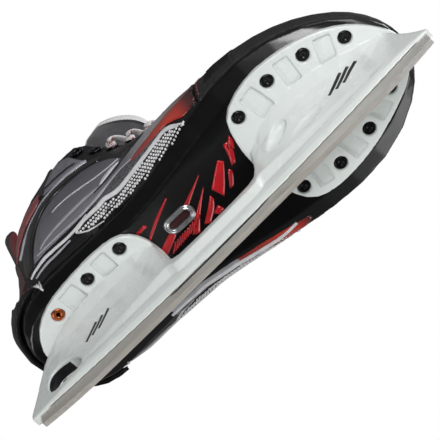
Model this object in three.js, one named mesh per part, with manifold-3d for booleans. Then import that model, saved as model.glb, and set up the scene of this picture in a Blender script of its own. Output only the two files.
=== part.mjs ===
// One right-foot ice skate standing on its runner: a steel runner bolted into a
// moulded blade holder, riveted through the outsole of a stiff lace-up boot.
// Millimetres. X runs towards the toe, Y to the left (the inner side of the foot), Z up.
// The origin is on the runner's ground edge, at the middle of the blade.
import * as THREE from 'three';
import { mergeVertices } from 'three/addons/utils/BufferGeometryUtils.js';
import Module from 'manifold-3d';

const wasm = await Module();
wasm.setup();

// ---- driving dimensions ------------------------------------------------------------
const GAP = 0.3;                 // clearance between pieces that touch

const RUNNER_THICKNESS = 3;
const RUNNER_HALF = 142;         // half the runner's length
const RUNNER_FLAT = 8;           // true flat at mid blade
const ROCKER_RADIUS = 3000;      // long curve of the ground edge
const TIP_START = 95;            // where the ends of the ground edge start to turn up
const TIP_RADIUS = 230;
const LIP_HEIGHT = 8.2;          // holder lip above the ground at mid blade
const LIP_RADIUS = 1050;         // the lip curves up towards both ends
const SLOT_DEPTH = 6;            // runner inside the holder
const TANG_X = [84, -84];        // tangs that carry the clamp studs
const TANG_LENGTH = 16;
const TANG_TOP = 28;
const RUNNER_TRAVEL = 8;         // drop that frees the studs from their nuts

const STUD_RADIUS = 2;
const STUD_FOOT = 24;            // lowest point of the fork
const STUD_TOP = 57;
const NUT_SEAT = 48;             // floor of the wells in the towers
const NUT_HEIGHT = 4.5;
const NUT_RADIUS = 4.6;
const WASHER_RADIUS = 5.6;
const WASHER_HEIGHT = 1.4;
const WELL_RADIUS = 6.5;

const HOLDER_NOSE = 144;
const HOLDER_TAIL = -147;
const RIDGE_HEIGHT = 25.5;       // widest line of the bridge
const BRIDGE_TOP = 28;
const PLATE_THICKNESS = 4.5;
const POCKET_DEPTH = 2.6;
const RIVET_HEAD = 3.9;
const RIVET_SHANK = 2;
const RIVET_SINK = 2.4;          // depth of the head's seat

const OUTSOLE_THICKNESS = 3.5;
const OUTSOLE_RISE = 7;          // the outsole's rim above its flat middle
const FLAT_SHARE = 0.78;         // flat middle as a share of the half width
const FOOTBED_THICKNESS = 3;
const VENT = { x: -22, y: -6, length: 20, width: 11, slot: [15, 5], flange: 1.2 };

const QUARTER_THICKNESS = 3;
const LINER_GAP = 1;              // the padding and the heel cup clear the curved wall
const LINER_THICKNESS = 4.5;
const HEEL_CUP_THICKNESS = 3;
const TOE_CAP_THICKNESS = 2.6;
const CAP_GAP = 0.9;             // butt joint between the toe cap and the quarters
const TOE_TIP = [132, 8];        // foremost point of the boot, x and y

const EYELET_PAIRS = 8;
const LACED_PAIRS = 6;           // counted from the toe
const EYELET_BORE = 2.7;
const LACE_RADIUS = 1.2;
const TONGUE_THICKNESS = 7;
const TONGUE_HALF = [21, 25];    // half width at the toe end and at the top
const TONGUE_SAG = [12, 26];     // how far its edges curve back, at the toe end and at the top
const TONGUE_SPLIT = 5;          // path point where the free upper part starts
const GUARD_THICKNESS = 5;

// Underside of each mounting plate: height at x0 and slope along x.
const FRONT_PLATE = { x0: 28, z0: 57.2, slope: -0.039 };
const REAR_PLATE = { x0: -40, z0: 64, slope: -0.058 };

// Rivet centres, from the toe back; outer side of the foot first.
const FRONT_RIVETS = [
  [[110.5, -17.2], [88.5, -26.5], [65.5, -30], [41, -26.5]],
  [[108.5, 21], [85, 30], [61, 33], [38, 28]],
];
const REAR_RIVETS = [
  [[-56, -18.8], [-80.5, -18.8], [-106.5, -15.7]],
  [[-56, 19.3], [-80.5, 19.3], [-106.5, 16.2]],
];

// Plate outlines seen from above, anticlockwise from the rear of the outer side.
const FRONT_OUTLINE = [
  [28, 0], [30, -16], [37.5, -32], [59, -39], [82, -37], [103, -30], [118, -19], [127, -7], [131, 3],
  [128, 14], [118, 25], [101, 33], [77, 40], [52, 41.5], [37, 36], [29.5, 20],
];
const REAR_OUTLINE = [
  [-41, 0], [-43, -14], [-51, -24], [-66, -27], [-86, -26.5], [-107, -23.5], [-122, -15], [-129.5, 0],
  [-122, 15.5], [-107, 24], [-86, 27], [-66, 27.5], [-51, 24.5], [-43, 14.5],
];

// ---- small helpers -----------------------------------------------------------------
const lerp = THREE.MathUtils.lerp;

// Value of a polyline [[x, value], ...] at x.
function along(table, x) {
  if (x <= table[0][0]) return table[0][1];
  for (let i = 1; i < table.length; i++) {
    const [x1, v1] = table[i];
    const [x0, v0] = table[i - 1];
    if (x <= x1) return lerp(v0, v1, (x - x0) / (x1 - x0));
  }
  return table[table.length - 1][1];
}

const spline = (points) => new THREE.CatmullRomCurve3(
  points.map((p) => new THREE.Vector3(...p)), false, 'centripetal');

// Closed body from triangles given as point triples; turned inside out if needed.
function closedBody(triangles) {
  const geometry = new THREE.BufferGeometry();
  geometry.setAttribute('position', new THREE.BufferAttribute(new Float32Array(triangles.flat(2)), 3));
  const merged = mergeVertices(geometry, 1e-4);
  const index = [...merged.index.array];
  const kept = [];
  for (let i = 0; i < index.length; i += 3) {
    const [a, b, c] = index.slice(i, i + 3);
    if (a !== b && b !== c && c !== a) kept.push(a, b, c);
  }
  merged.setIndex(kept);
  if (volume(merged) < 0) {
    for (let i = 0; i < kept.length; i += 3) [kept[i], kept[i + 1]] = [kept[i + 1], kept[i]];
    merged.setIndex(kept);
  }
  return merged;
}

function volume(geometry) {
  const p = geometry.getAttribute('position');
  const [a, b, c] = [new THREE.Vector3(), new THREE.Vector3(), new THREE.Vector3()];
  let sum = 0;
  for (let i = 0; i < geometry.index.count; i += 3) {
    a.fromBufferAttribute(p, geometry.index.getX(i));
    b.fromBufferAttribute(p, geometry.index.getX(i + 1));
    c.fromBufferAttribute(p, geometry.index.getX(i + 2));
    sum += a.dot(b.cross(c)) / 6;
  }
  return sum;
}

const quad = (a, b, c, d) => [[a, b, c], [a, c, d]];

// Solid between two matching grids of points (rows of points), walled along its edges.
function shellBody(front, back) {
  const triangles = [];
  const rows = front.length - 1;
  const columns = front[0].length - 1;
  for (let i = 0; i < rows; i++) {
    for (let j = 0; j < columns; j++) {
      triangles.push(...quad(front[i][j], front[i + 1][j], front[i + 1][j + 1], front[i][j + 1]));
      triangles.push(...quad(back[i][j], back[i][j + 1], back[i + 1][j + 1], back[i + 1][j]));
    }
    for (const [j, flip] of [[0, false], [columns, true]]) {
      const wall = [front[i][j], back[i][j], back[i + 1][j], front[i + 1][j]];
      triangles.push(...quad(...(flip ? wall.reverse() : wall)));
    }
  }
  for (let j = 0; j < columns; j++) {
    for (const [i, flip] of [[0, true], [rows, false]]) {
      const wall = [front[i][j], back[i][j], back[i][j + 1], front[i][j + 1]];
      triangles.push(...quad(...(flip ? wall.reverse() : wall)));
    }
  }
  return closedBody(triangles);
}

// Solid through a row of closed rings, with fan caps on their first points' side.
function loftBody(rings) {
  const triangles = [];
  const n = rings[0].length;
  for (let i = 0; i + 1 < rings.length; i++) {
    for (let j = 0; j < n; j++) {
      const k = (j + 1) % n;
      triangles.push(...quad(rings[i][j], rings[i][k], rings[i + 1][k], rings[i + 1][j]));
    }
  }
  for (const [ring, flip] of [[rings[0], true], [rings[rings.length - 1], false]]) {
    for (let j = 0; 2 * j + 2 < n; j++) {
      const strip = quad(ring[j], ring[j + 1], ring[n - 2 - j], ring[n - 1 - j]);
      triangles.push(...strip.map((t) => (flip ? t.reverse() : t)));
    }
  }
  return closedBody(triangles);
}

// ---- solids by manifold ------------------------------------------------------------
function solid(geometry) {
  const bare = geometry.clone();
  for (const name of Object.keys(bare.attributes)) if (name !== 'position') bare.deleteAttribute(name);
  const merged = mergeVertices(bare, 1e-4);
  return new wasm.Manifold(new wasm.Mesh({
    numProp: 3,
    vertProperties: new Float32Array(merged.getAttribute('position').array),
    triVerts: new Uint32Array(merged.index.array),
  }));
}

function fromSolid(manifold) {
  const mesh = manifold.getMesh();
  const geometry = new THREE.BufferGeometry();
  geometry.setAttribute('position', new THREE.BufferAttribute(new Float32Array(mesh.vertProperties), 3));
  geometry.setIndex([...mesh.triVerts]);
  return geometry;
}

const cut = (geometry, tools) => fromSolid(
  tools.reduce((body, tool) => body.subtract(solid(tool)), solid(geometry)));
const join = (pieces) => fromSolid(
  pieces.slice(1).reduce((body, piece) => body.add(solid(piece)), solid(pieces[0])));

// ---- basic shapes ------------------------------------------------------------------
const outlineShape = (points) => new THREE.Shape(points.map(([x, y]) => new THREE.Vector2(x, y)));
const smoothShape = (points, steps) => new THREE.Shape(
  new THREE.SplineCurve([...points, points[0]].map(([x, y]) => new THREE.Vector2(x, y)))
    .getPoints(steps).slice(0, -1));

function prism(shape, z0, z1, curveSegments = 10) {
  const geometry = new THREE.ExtrudeGeometry(shape, { depth: z1 - z0, bevelEnabled: false, curveSegments });
  return geometry.translate(0, 0, z0);
}

// A shape drawn in x and z, with its thickness centred on y.
function sidePrism(shape, thickness, y = 0) {
  const geometry = new THREE.ExtrudeGeometry(shape, { depth: thickness, bevelEnabled: false });
  return geometry.translate(0, 0, -thickness / 2).rotateX(Math.PI / 2).translate(0, y, 0);
}

// Upright rod between two heights.
const rod = (x, y, radius, z0, z1, sides = 12) => new THREE.CylinderGeometry(radius, radius, z1 - z0, sides)
  .rotateX(Math.PI / 2).translate(x, y, (z0 + z1) / 2);

function slotShape(length, width) {
  const shape = new THREE.Shape();
  const reach = (length - width) / 2;
  shape.absarc(reach, 0, width / 2, -Math.PI / 2, Math.PI / 2, false);
  shape.absarc(-reach, 0, width / 2, Math.PI / 2, 1.5 * Math.PI, false);
  return shape;
}

const lathe = (profile, sides) => new THREE.LatheGeometry(
  profile.map(([r, z]) => new THREE.Vector2(r, z)), sides).rotateX(Math.PI / 2);

// Moves every point up by the plate's height at its x.
function pitch(geometry, { x0, z0, slope }) {
  const p = geometry.getAttribute('position');
  for (let i = 0; i < p.count; i++) p.setZ(i, p.getZ(i) + z0 + slope * (p.getX(i) - x0));
  return geometry;
}

const plateUnder = (plate, x) => plate.z0 + plate.slope * (x - plate.x0);

// ---- the blade -----------------------------------------------------------------------
const groundEdge = (x) => {
  const past = Math.max(0, Math.abs(x) - TIP_START);
  const rocker = Math.max(0, x * x - (RUNNER_FLAT / 2) ** 2) / (2 * ROCKER_RADIUS);
  return rocker + past * past / (2 * TIP_RADIUS);
};
const lipHeight = (x) => LIP_HEIGHT + x * x / (2 * LIP_RADIUS);

// Side outline of the runner; grown by the clearance it is also the holder's slot.
function runnerShape(clearance) {
  const points = [];
  const end = RUNNER_HALF;
  const seat = end - 7;
  const low = clearance ? () => -5 : groundEdge;
  for (let x = -end; x < -RUNNER_FLAT / 2; x += 12) points.push([x, low(x)]);
  points.push([-RUNNER_FLAT / 2, low(0)], [RUNNER_FLAT / 2, low(0)]);
  for (let x = end - 12 * Math.floor((end - RUNNER_FLAT / 2) / 12); x <= end; x += 12) points.push([x, low(x)]);
  const lip = (x) => lipHeight(x) - GAP + clearance;
  const inside = (x) => lipHeight(x) + SLOT_DEPTH + clearance;
  points.push([end + clearance, lip(end)], [seat + clearance, lip(seat)], [seat + clearance, inside(seat)]);
  for (const tang of TANG_X) {
    const half = TANG_LENGTH / 2 + clearance;
    points.push([tang + half, inside(tang + half)], [tang + half - 2, TANG_TOP + clearance]);
    points.push([tang - half + 2, TANG_TOP + clearance], [tang - half, inside(tang - half)]);
    if (tang > 0) points.push([42, inside(42)], [0, inside(0)], [-42, inside(-42)]);
  }
  points.push([-seat - clearance, inside(seat)], [-seat - clearance, lip(seat)], [-end - clearance, lip(end)]);
  return outlineShape(points);
}

const runner = () => sidePrism(runnerShape(0), RUNNER_THICKNESS);

// Threaded stud with a fork that straddles the tang.
function clampStud(x) {
  const fork = new THREE.BoxGeometry(3 * STUD_RADIUS, RUNNER_THICKNESS + 2 * 0.2, TANG_TOP - STUD_FOOT + GAP);
  fork.translate(x, 0, (TANG_TOP + STUD_FOOT + GAP) / 2 - 0.01);
  const shank = rod(x, 0, STUD_RADIUS, STUD_FOOT, STUD_TOP, 10);
  return cut(shank, [fork.translate(0, 0, -GAP / 2)]);
}

const ring = (x, outer, inner, z0, z1, sides) => cut(
  rod(x, 0, outer, z0, z1, sides), [rod(x, 0, inner, z0 - 1, z1 + 1, 12)]);
const washer = (x) => ring(x, WASHER_RADIUS, STUD_RADIUS + GAP, NUT_SEAT + GAP, NUT_SEAT + GAP + WASHER_HEIGHT, 16);
const nut = (x) => {
  const seat = NUT_SEAT + 2 * GAP + WASHER_HEIGHT;
  return ring(x, NUT_RADIUS, STUD_RADIUS + GAP, seat, seat + NUT_HEIGHT, 6);
};

// ---- the holder --------------------------------------------------------------------
// Top of the holder's web, its half width there, and the half width of its ridge, all along x.
const WEB_TOP = [
  [HOLDER_TAIL, 24], [-139, 43], [-129.5, 66], [-42, 66], [-39.5, 50], [-37, 36], [-34.5, 30], [-30, BRIDGE_TOP],
  [22, BRIDGE_TOP], [26.5, 30], [29, 37], [30.5, 48], [32, 59], [125, 59], [128, 51], [133, 38], [139, 27], [HOLDER_NOSE, 19.5],
];
const WEB_HALF = [
  [HOLDER_TAIL, 2.3], [-131, 3.6], [-115, 8.5], [-101, 12], [-86, 13.5], [-61, 13], [-50, 12], [-43, 8],
  [-20, 6.5], [10, 6.5], [28, 7.5], [36, 9.5], [46, 16], [60, 19], [70, 20], [84, 18.5], [106, 12],
  [119, 6.5], [131, 3.2], [HOLDER_NOSE, 2.2],
];
const RIDGE_HALF = [
  [HOLDER_TAIL, 2.6], [-130, 3.6], [-115, 4.4], [-80, 6.2], [-36, 8.6], [24, 8.6], [70, 6.6], [100, 5.6],
  [125, 4], [HOLDER_NOSE, 2.6],
];
const WEB_STATIONS = [
  HOLDER_TAIL, -145, -139, -132, -124, -115, -104, -93, -80, -66, -54, -46, -42, -39.5, -37, -34.5, -30, -16,
  -4, 10, 22, 26.5, 29, 30.5, 32, 38, 46, 58, 72, 86, 100, 112, 121, 128, 133, 139, HOLDER_NOSE - 1.5, HOLDER_NOSE,
];

function webRing(x) {
  const lip = lipHeight(x);
  const top = Math.min(along(WEB_TOP, x), x > 0 ? plateUnder(FRONT_PLATE, x) + 1 : plateUnder(REAR_PLATE, x) + 1);
  const ridge = Math.min(RIDGE_HEIGHT, lerp(lip, top, 0.55));
  const ridgeHalf = along(RIDGE_HALF, x);
  const topHalf = along(WEB_HALF, x);
  const half = [[0, 2.5], [0.22, 4.1], [0.5, 4.8], [0.66, 4.5]].map(
    ([share, reach]) => [Math.min(reach, ridgeHalf), lerp(lip, ridge, share)]);
  for (const [share, spread] of [[0, 0], [0.42, 0.14], [0.76, 0.46], [1, 1]]) {
    half.push([lerp(ridgeHalf, topHalf, spread), lerp(ridge, top, share)]);
  }
  const right = half.map(([y, z]) => [x, -y, z]);
  const left = half.map(([y, z]) => [x, y, z]).reverse();
  return [...right, ...left];
}

const web = () => loftBody(WEB_STATIONS.map(webRing));

// Recess between two rivet bosses, in plate coordinates.
function pocket([ax, ay], [bx, by], fromA, toB, reachOut, reachIn) {
  const length = Math.hypot(bx - ax, by - ay);
  const [tx, ty] = [(bx - ax) / length, (by - ay) / length];
  const side = Math.sign(ay);
  const [nx, ny] = [side * -ty * Math.sign(tx), side * tx * Math.sign(tx)];
  const at = (s, r) => [ax + tx * s + nx * r, ay + ty * s + ny * r];
  const [start, end] = [fromA, length - toB];
  const corners = [at(start, reachOut), at(end, reachOut), at(end, -reachIn), at(start, -reachIn)];
  const shape = outlineShape(side > 0 ? corners.reverse() : corners);
  return prism(shape, -1, POCKET_DEPTH);
}

const BOSS = 7;                  // half length of a rivet boss along the row
const POCKET_OUT = 5.6;
const POCKET_IN = 15;              // under the tower's flare

function pocketsOf(rows) {
  return rows.flatMap((row) => row.slice(1).map(
    (rivet, i) => pocket(row[i], rivet, BOSS, BOSS, POCKET_OUT, POCKET_IN)));
}

function seatOf([x, y], plate) {
  const under = plateUnder(plate, x);
  return [
    rod(x, y, RIVET_HEAD + GAP, under - 2, under + RIVET_SINK, 10),
    rod(x, y, RIVET_SHANK + GAP, under, under + PLATE_THICKNESS + 2, 8),
  ];
}

const frontPlate = () => pitch(prism(smoothShape(FRONT_OUTLINE, 44), 0, PLATE_THICKNESS), FRONT_PLATE);
const rearPlate = () => pitch(prism(smoothShape(REAR_OUTLINE, 36), 0, PLATE_THICKNESS), REAR_PLATE);

// Rounded window through the rear tower.
function towerWindow() {
  const shape = new THREE.Shape();
  shape.moveTo(-128, 24);
  shape.lineTo(-110, 22.5);
  shape.quadraticCurveTo(-105.5, 23, -107, 29);
  shape.quadraticCurveTo(-111, 39, -121, 43);
  shape.quadraticCurveTo(-130, 45, -131.5, 36);
  shape.quadraticCurveTo(-132.5, 26, -128, 24);
  return new THREE.ExtrudeGeometry(shape, { depth: 60, bevelEnabled: false, curveSegments: 4 })
    .translate(0, 0, -30).rotateX(Math.PI / 2);
}

// Hollows scooped into each flank of the front tower: a long one beside the bridge and a shorter
// one further forward. Each is an ellipsoid: its radii, turn, and centre.
const SCOOPS = [
  { radii: [20, 6, 7], turn: 0.75, centre: [43, 14, 37] },
  { radii: [16, 5, 7.5], turn: 0.12, centre: [67, 11.5, 31] },
];
const towerScoops = (side) => SCOOPS.map(({ radii, turn, centre: [x, y, z] }) => (
  new THREE.SphereGeometry(1, 14, 10).scale(...radii).rotateY(-turn).rotateX(side * 0.35).translate(x, side * y, z)));

function holder() {
  const slot = sidePrism(runnerShape(GAP), RUNNER_THICKNESS + 2 * GAP);
  const bores = TANG_X.flatMap((x) => [
    rod(x, 0, STUD_RADIUS + 2 * GAP, STUD_FOOT - RUNNER_TRAVEL - 1, NUT_SEAT + 1),
    rod(x, 0, WELL_RADIUS, NUT_SEAT, 90, 16),
  ]);
  const seats = [[FRONT_RIVETS, FRONT_PLATE], [REAR_RIVETS, REAR_PLATE]].flatMap(
    ([rows, plate]) => rows.flat().flatMap((rivet) => seatOf(rivet, plate)));
  const pockets = [
    ...pocketsOf(FRONT_RIVETS).map((tool) => pitch(tool, FRONT_PLATE)),
    ...pocketsOf(REAR_RIVETS).map((tool) => pitch(tool, REAR_PLATE)),
  ];
  const plates = cut(join([frontPlate(), rearPlate()]), pockets);
  return cut(join([web(), plates]), [slot, ...bores, ...seats, towerWindow(), ...towerScoops(-1), ...towerScoops(1)]);
}

// Rivet: sunk head below, shank, and a clinched collar on top of the outsole.
function rivet([x, y], plate) {
  const head = plateUnder(plate, x) + RIVET_SINK - GAP;
  const clinch = soleUnder(x) + OUTSOLE_THICKNESS + GAP - head;
  return lathe([
    [0, -1.3], [2.2, -1.3], [RIVET_HEAD, -0.4], [RIVET_HEAD, 0], [RIVET_SHANK, 0],
    [RIVET_SHANK, clinch], [RIVET_SHANK + 0.9, clinch], [RIVET_SHANK + 0.6, clinch + 0.7], [0, clinch + 0.7],
  ], 8).translate(x, y, head);
}

// ---- the sole ----------------------------------------------------------------------
// Height of the outsole's flat underside along x.
function soleUnder(x) {
  const rise = PLATE_THICKNESS + GAP;
  const [front, rear] = [FRONT_PLATE, REAR_PLATE];
  if (x >= front.x0) return plateUnder(front, x) + rise;
  if (x <= rear.x0) return plateUnder(rear, x) + rise;
  return lerp(rear.z0, front.z0, (x - rear.x0) / (front.x0 - rear.x0)) + rise;
}

const rimHeight = (x) => soleUnder(x) + OUTSOLE_RISE;

// ---- the boot's side walls ---------------------------------------------------------
// Rails from the heel's middle to the toe cap: x, distance out from the middle, height.
// The first rail's height is the outsole's rim.
const RAILS = [
  [[-136, 0], [-132.5, 14], [-121, 26], [-98, 31], [-68, 30.5], [-38, 31], [-12, 35], [12, 41], [30, 45]]
    .map(([x, y]) => [x, y, rimHeight(x)]),
  [[-140, 0, 97], [-135.5, 14, 96.5], [-124, 24, 95.5], [-99, 36.5, 93.5], [-68, 38.5, 91], [-36, 39, 88.5],
    [-10, 42, 86.5], [14, 46, 84], [33, 48.5, 83]],
  [[-136, 0, 126], [-130.5, 13.5, 125.5], [-117, 27.5, 124.5], [-96, 37.5, 122.5], [-66, 39, 120], [-36, 38, 114.5],
    [-9, 38.5, 107.5], [16, 42, 101], [37, 43, 97]],
  [[-131.5, 0, 150], [-127, 14.5, 150.5], [-113.5, 29.5, 152], [-92, 36.5, 160], [-64, 36, 165], [-37, 32.5, 151],
    [-9, 33, 133], [18, 36, 122], [40, 36, 114]],
  [[-132, 0, 170], [-126.5, 16, 172], [-113, 27.5, 179], [-90, 33.5, 195], [-56, 31.5, 212], [-37, 25, 184],
    [-10, 20.5, 156], [17, 21, 137], [42, 22, 124]],
];
// How much further the boot reaches on its inner side, along x, and each rail's share of it.
const INNER_REACH = [[-143, 0], [-134, 7], [-124, 10.5], [-108, 9.5], [-92, 6.5], [-50, 7], [-10, 8], [40, 7]];
const RAIL_REACH = [0.8, 1, 0.7, 0.25, 0];

const widened = (side, x, y, share) => y + (side > 0 ? share * along(INNER_REACH, x) : 0);

// Outer surface of one side of the boot, by shares along it (u) and up it (v).
function sideSurface(side) {
  const rails = RAILS.map((rail, i) => spline(rail.map(
    ([x, y, z]) => [x, side * (widened(side, x, y, RAIL_REACH[i]) + GAP), z])));
  return (u, v) => new THREE.CatmullRomCurve3(rails.map((rail) => rail.getPoint(u))).getPoint(v);
}

// The same surface moved in (positive depth) or out along its normal.
function offsetSurface(side) {
  const surface = sideSurface(side);
  return (u, v, depth) => {
    const [u0, u1] = [Math.max(0, u - 0.01), Math.min(1, u + 0.01)];
    const [v0, v1] = [Math.max(0, v - 0.01), Math.min(1, v + 0.01)];
    const du = surface(u1, v).sub(surface(u0, v));
    const dv = surface(u, v1).sub(surface(u, v0));
    const normal = du.cross(dv).multiplyScalar(-side);
    if (u < 0.005) normal.y = 0;
    normal.normalize();
    const point = surface(u, v).addScaledVector(normal, -depth);
    if (side * point.y < GAP) point.y = side * GAP;
    return { point: point.toArray(), normal };
  };
}

const surfaces = { '-1': offsetSurface(-1), 1: offsetSurface(1) };

// Shell over part of a side: shares from u0 to u1, and from low(u) to high(u).
function sideShell(side, { u0, u1, low, high, outer, inner, columns, rows }) {
  const layer = (depth) => Array.from({ length: columns + 1 }, (_, i) => {
    const u = lerp(u0, u1, i / columns);
    return Array.from({ length: rows + 1 }, (_, j) => (
      surfaces[side](u, lerp(low(u), high(u), j / rows), depth).point));
  });
  return shellBody(layer(outer), layer(inner));
}

// Eyelet seats: evenly spaced along the facing, from the toe up.
const EYELET_V = 0.93;
function eyeletSeats(side) {
  const steps = 60;
  const samples = Array.from({ length: steps + 1 }, (_, i) => lerp(0.965, 0.52, i / steps));
  const lengths = [0];
  for (let i = 1; i <= steps; i++) {
    const a = new THREE.Vector3(...surfaces[side](samples[i - 1], EYELET_V, 0).point);
    lengths.push(lengths[i - 1] + a.distanceTo(new THREE.Vector3(...surfaces[side](samples[i], EYELET_V, 0).point)));
  }
  return Array.from({ length: EYELET_PAIRS }, (_, row) => {
    const target = lengths[steps] * row / (EYELET_PAIRS - 1);
    const i = Math.max(1, lengths.findIndex((length) => length >= target - 1e-9));
    const u = lerp(samples[i - 1], samples[i], (target - lengths[i - 1]) / (lengths[i] - lengths[i - 1]));
    const { point, normal } = surfaces[side](u, EYELET_V, 0);
    return { point: new THREE.Vector3(...point), normal };
  });
}
const seats = { '-1': eyeletSeats(-1), 1: eyeletSeats(1) };

// Puts a shape built around the Z axis on a seat, with +Z along its normal.
function onSeat(geometry, { point, normal }) {
  const turn = new THREE.Quaternion().setFromUnitVectors(new THREE.Vector3(0, 0, 1), normal);
  return geometry.applyQuaternion(turn).translate(...point.toArray());
}

const EYELET_BARREL = EYELET_BORE + 0.6;
const eyelet = (seat) => onSeat(lathe([
  [EYELET_BORE, -QUARTER_THICKNESS], [EYELET_BARREL, -QUARTER_THICKNESS], [EYELET_BARREL, 0.5],
  [EYELET_BARREL + 1.3, 0.5], [EYELET_BARREL + 0.9, 1.3], [EYELET_BORE, 1.3],
  [EYELET_BORE, -QUARTER_THICKNESS],
], 8), seat);

function quarter(side) {
  const wall = sideShell(side, {
    u0: 0, u1: 1, low: () => 0, high: () => 1, outer: 0, inner: QUARTER_THICKNESS, columns: 22, rows: 9,
  });
  const holes = seats[side].map((seat) => onSeat(
    new THREE.CylinderGeometry(EYELET_BARREL + GAP, EYELET_BARREL + GAP, 4 * QUARTER_THICKNESS, 8)
      .rotateX(Math.PI / 2), seat));
  return cut(wall, holes);
}

// Padding inside a quarter: high around the collar, low under the laces.
const liner = (side) => sideShell(side, {
  u0: 0.01, u1: 0.97, low: () => 0.12, outer: QUARTER_THICKNESS + LINER_GAP,
  high: (u) => lerp(0.96, 0.62, THREE.MathUtils.smoothstep(u, 0.38, 0.56)),
  inner: QUARTER_THICKNESS + LINER_GAP + LINER_THICKNESS, columns: 16, rows: 6,
});

// Heel cup: one shell round both sides, its front edge sloping back and up.
function heelCup() {
  const columns = 9;
  const rows = 4;
  const layer = (depth) => {
    const grid = [];
    for (const side of [-1, 1]) {
      for (let i = 0; i <= columns; i++) {
        const share = side < 0 ? 1 - i / columns : i / columns;
        if (side > 0 && i === 0) continue;
        grid.push(Array.from({ length: rows + 1 }, (_, j) => {
          const v = lerp(0.02, lerp(0.47, 0.34, share), j / rows);
          const u = share * lerp(0.34, 0.2, j / rows);
          const { point } = surfaces[side](u, v, depth);
          return share === 0 ? [point[0], 0, point[2]] : point;
        }));
      }
    }
    return grid;
  };
  return shellBody(layer(-LINER_GAP - HEEL_CUP_THICKNESS), layer(-LINER_GAP));
}

// ---- the toe cap -------------------------------------------------------------------
const TOE_BULGE = [5, 2, 0, 0, 0, 0]; // from the rim up to the crown
// Each arch of the cap starts from the front edge of the two sides and shrinks to the tip.
function toeArch(share, depth) {
  const edge = (side) => [0, 0.25, 0.5, 0.75, 1].map((v) => surfaces[side](1, v, depth).point);
  const rear = [...edge(-1), [43, 2, 127 - depth], ...edge(1).reverse()];
  const [tipX, tipY] = [TOE_TIP[0] - depth, TOE_TIP[1]];
  const shrink = (power) => Math.sqrt(Math.max(0, 1 - share ** power));
  return spline(rear.map(([x, y, z], i) => {
    const inner = y > 0;
    const floor = rimHeight(lerp(x, tipX, share)) + (i === 0 || i === rear.length - 1 ? 0 : depth / 2);
    const base = rimHeight(x);
    const bulge = TOE_BULGE[Math.min(i, rear.length - 1 - i)] * Math.sin(Math.PI * share) * Math.sign(y);
    return [
      lerp(x + CAP_GAP, tipX, share),
      tipY + (y - tipY) * shrink(inner ? 2.5 : 2) + bulge,
      floor + Math.max(0, z - base) * shrink(2.2),
    ];
  }));
}

function toeCap() {
  const columns = 12;
  const rows = 20;
  const layer = (depth) => Array.from({ length: columns + 1 }, (_, i) => {
    const tip = [TOE_TIP[0] - depth, TOE_TIP[1], rimHeight(TOE_TIP[0]) + depth / 2];
    if (i === columns) return Array.from({ length: rows + 1 }, () => tip);
    const share = Math.sin(Math.PI / 2 * i / columns) ** 0.9;
    return toeArch(share, depth).getPoints(rows).map((p) => p.toArray());
  });
  return shellBody(layer(0), layer(TOE_CAP_THICKNESS));
}

// ---- outsole and footbed -----------------------------------------------------------
// Rim of the sole along x on one side: how far out it lies.
function rimTable(side) {
  const table = [];
  for (let i = 0; i <= 24; i++) table.push(surfaces[side](i / 24, 0, 0).point.slice(0, 2));
  for (let i = 1; i <= 16; i++) {
    const points = toeArch(Math.sin(Math.PI / 2 * i / 16), 0).getPoints(10);
    table.push(points[side < 0 ? 0 : 10].toArray().slice(0, 2));
  }
  return table;
}
const rims = { '-1': rimTable(-1), 1: rimTable(1) };

const SOLE_STATIONS = [-134.5, -133, -129, -122, -112, -98, -80, -60, -40, -20, 0, 20, 40, 60, 80, 98, 111, 120, 126, 130];

function soleRing(x) {
  const under = soleUnder(x);
  const rim = rimHeight(x) - GAP;
  const halves = [-1, 1].map((side) => {
    const out = along(rims[side], x);
    const [middle, reach] = [1.5, out - 1.5];
    const flat = middle + reach * FLAT_SHARE;
    return {
      low: [[x, flat, under], [x, out, rim - 2.4]],
      high: [[x, out, rim], [x, out - 0.09 * reach, rim], [x, flat, under + OUTSOLE_THICKNESS]],
    };
  });
  const [right, left] = halves;
  return [...left.low, ...left.high, ...right.high.reverse(), ...right.low.reverse()];
}

function outsole() {
  const plate = loftBody(SOLE_STATIONS.map((x) => {
    const ringPoints = soleRing(x);
    return [...ringPoints.slice(5), ...ringPoints.slice(0, 5)];
  }));
  const rivets = [...FRONT_RIVETS, ...REAR_RIVETS].flat();
  const holes = rivets.map(([x, y]) => rod(x, y, RIVET_SHANK + GAP, 40, 100, 8));
  const wells = TANG_X.map((x) => rod(x, 0, WELL_RADIUS, 40, 100, 16));
  const vent = prism(slotShape(VENT.length - 3, VENT.width - 3), 40, 100, 6).translate(VENT.x, VENT.y, 0);
  return cut(plate, [...holes, ...wells, vent]);
}

function footbed() {
  const stations = [-122, -117, -105, -85, -60, -30, 0, 30, 60, 85, 103, 112, 116];
  const ends = [[-122, 0.35], [-117, 0.75], [-105, 1], [95, 1], [112, 0.72], [116, 0.4]];
  return loftBody(stations.map((x) => {
    const low = soleUnder(x) + OUTSOLE_THICKNESS + 1.4;
    const high = low + FOOTBED_THICKNESS;
    const reach = 0.62 * along(ends, x);
    const [right, left] = [along(rims[-1], x) * reach, along(rims[1], x) * reach];
    return [[x, right, low], [x, left, low], [x, left, high], [x, right, high]];
  }));
}

// Oval grommet that lines the outsole's vent, and the mesh plate inside it.
const soleTilt = Math.atan((REAR_PLATE.z0 - FRONT_PLATE.z0) / (FRONT_PLATE.x0 - REAR_PLATE.x0));
const onSole = (geometry) => geometry.rotateY(soleTilt).translate(VENT.x, VENT.y, soleUnder(VENT.x));

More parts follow.
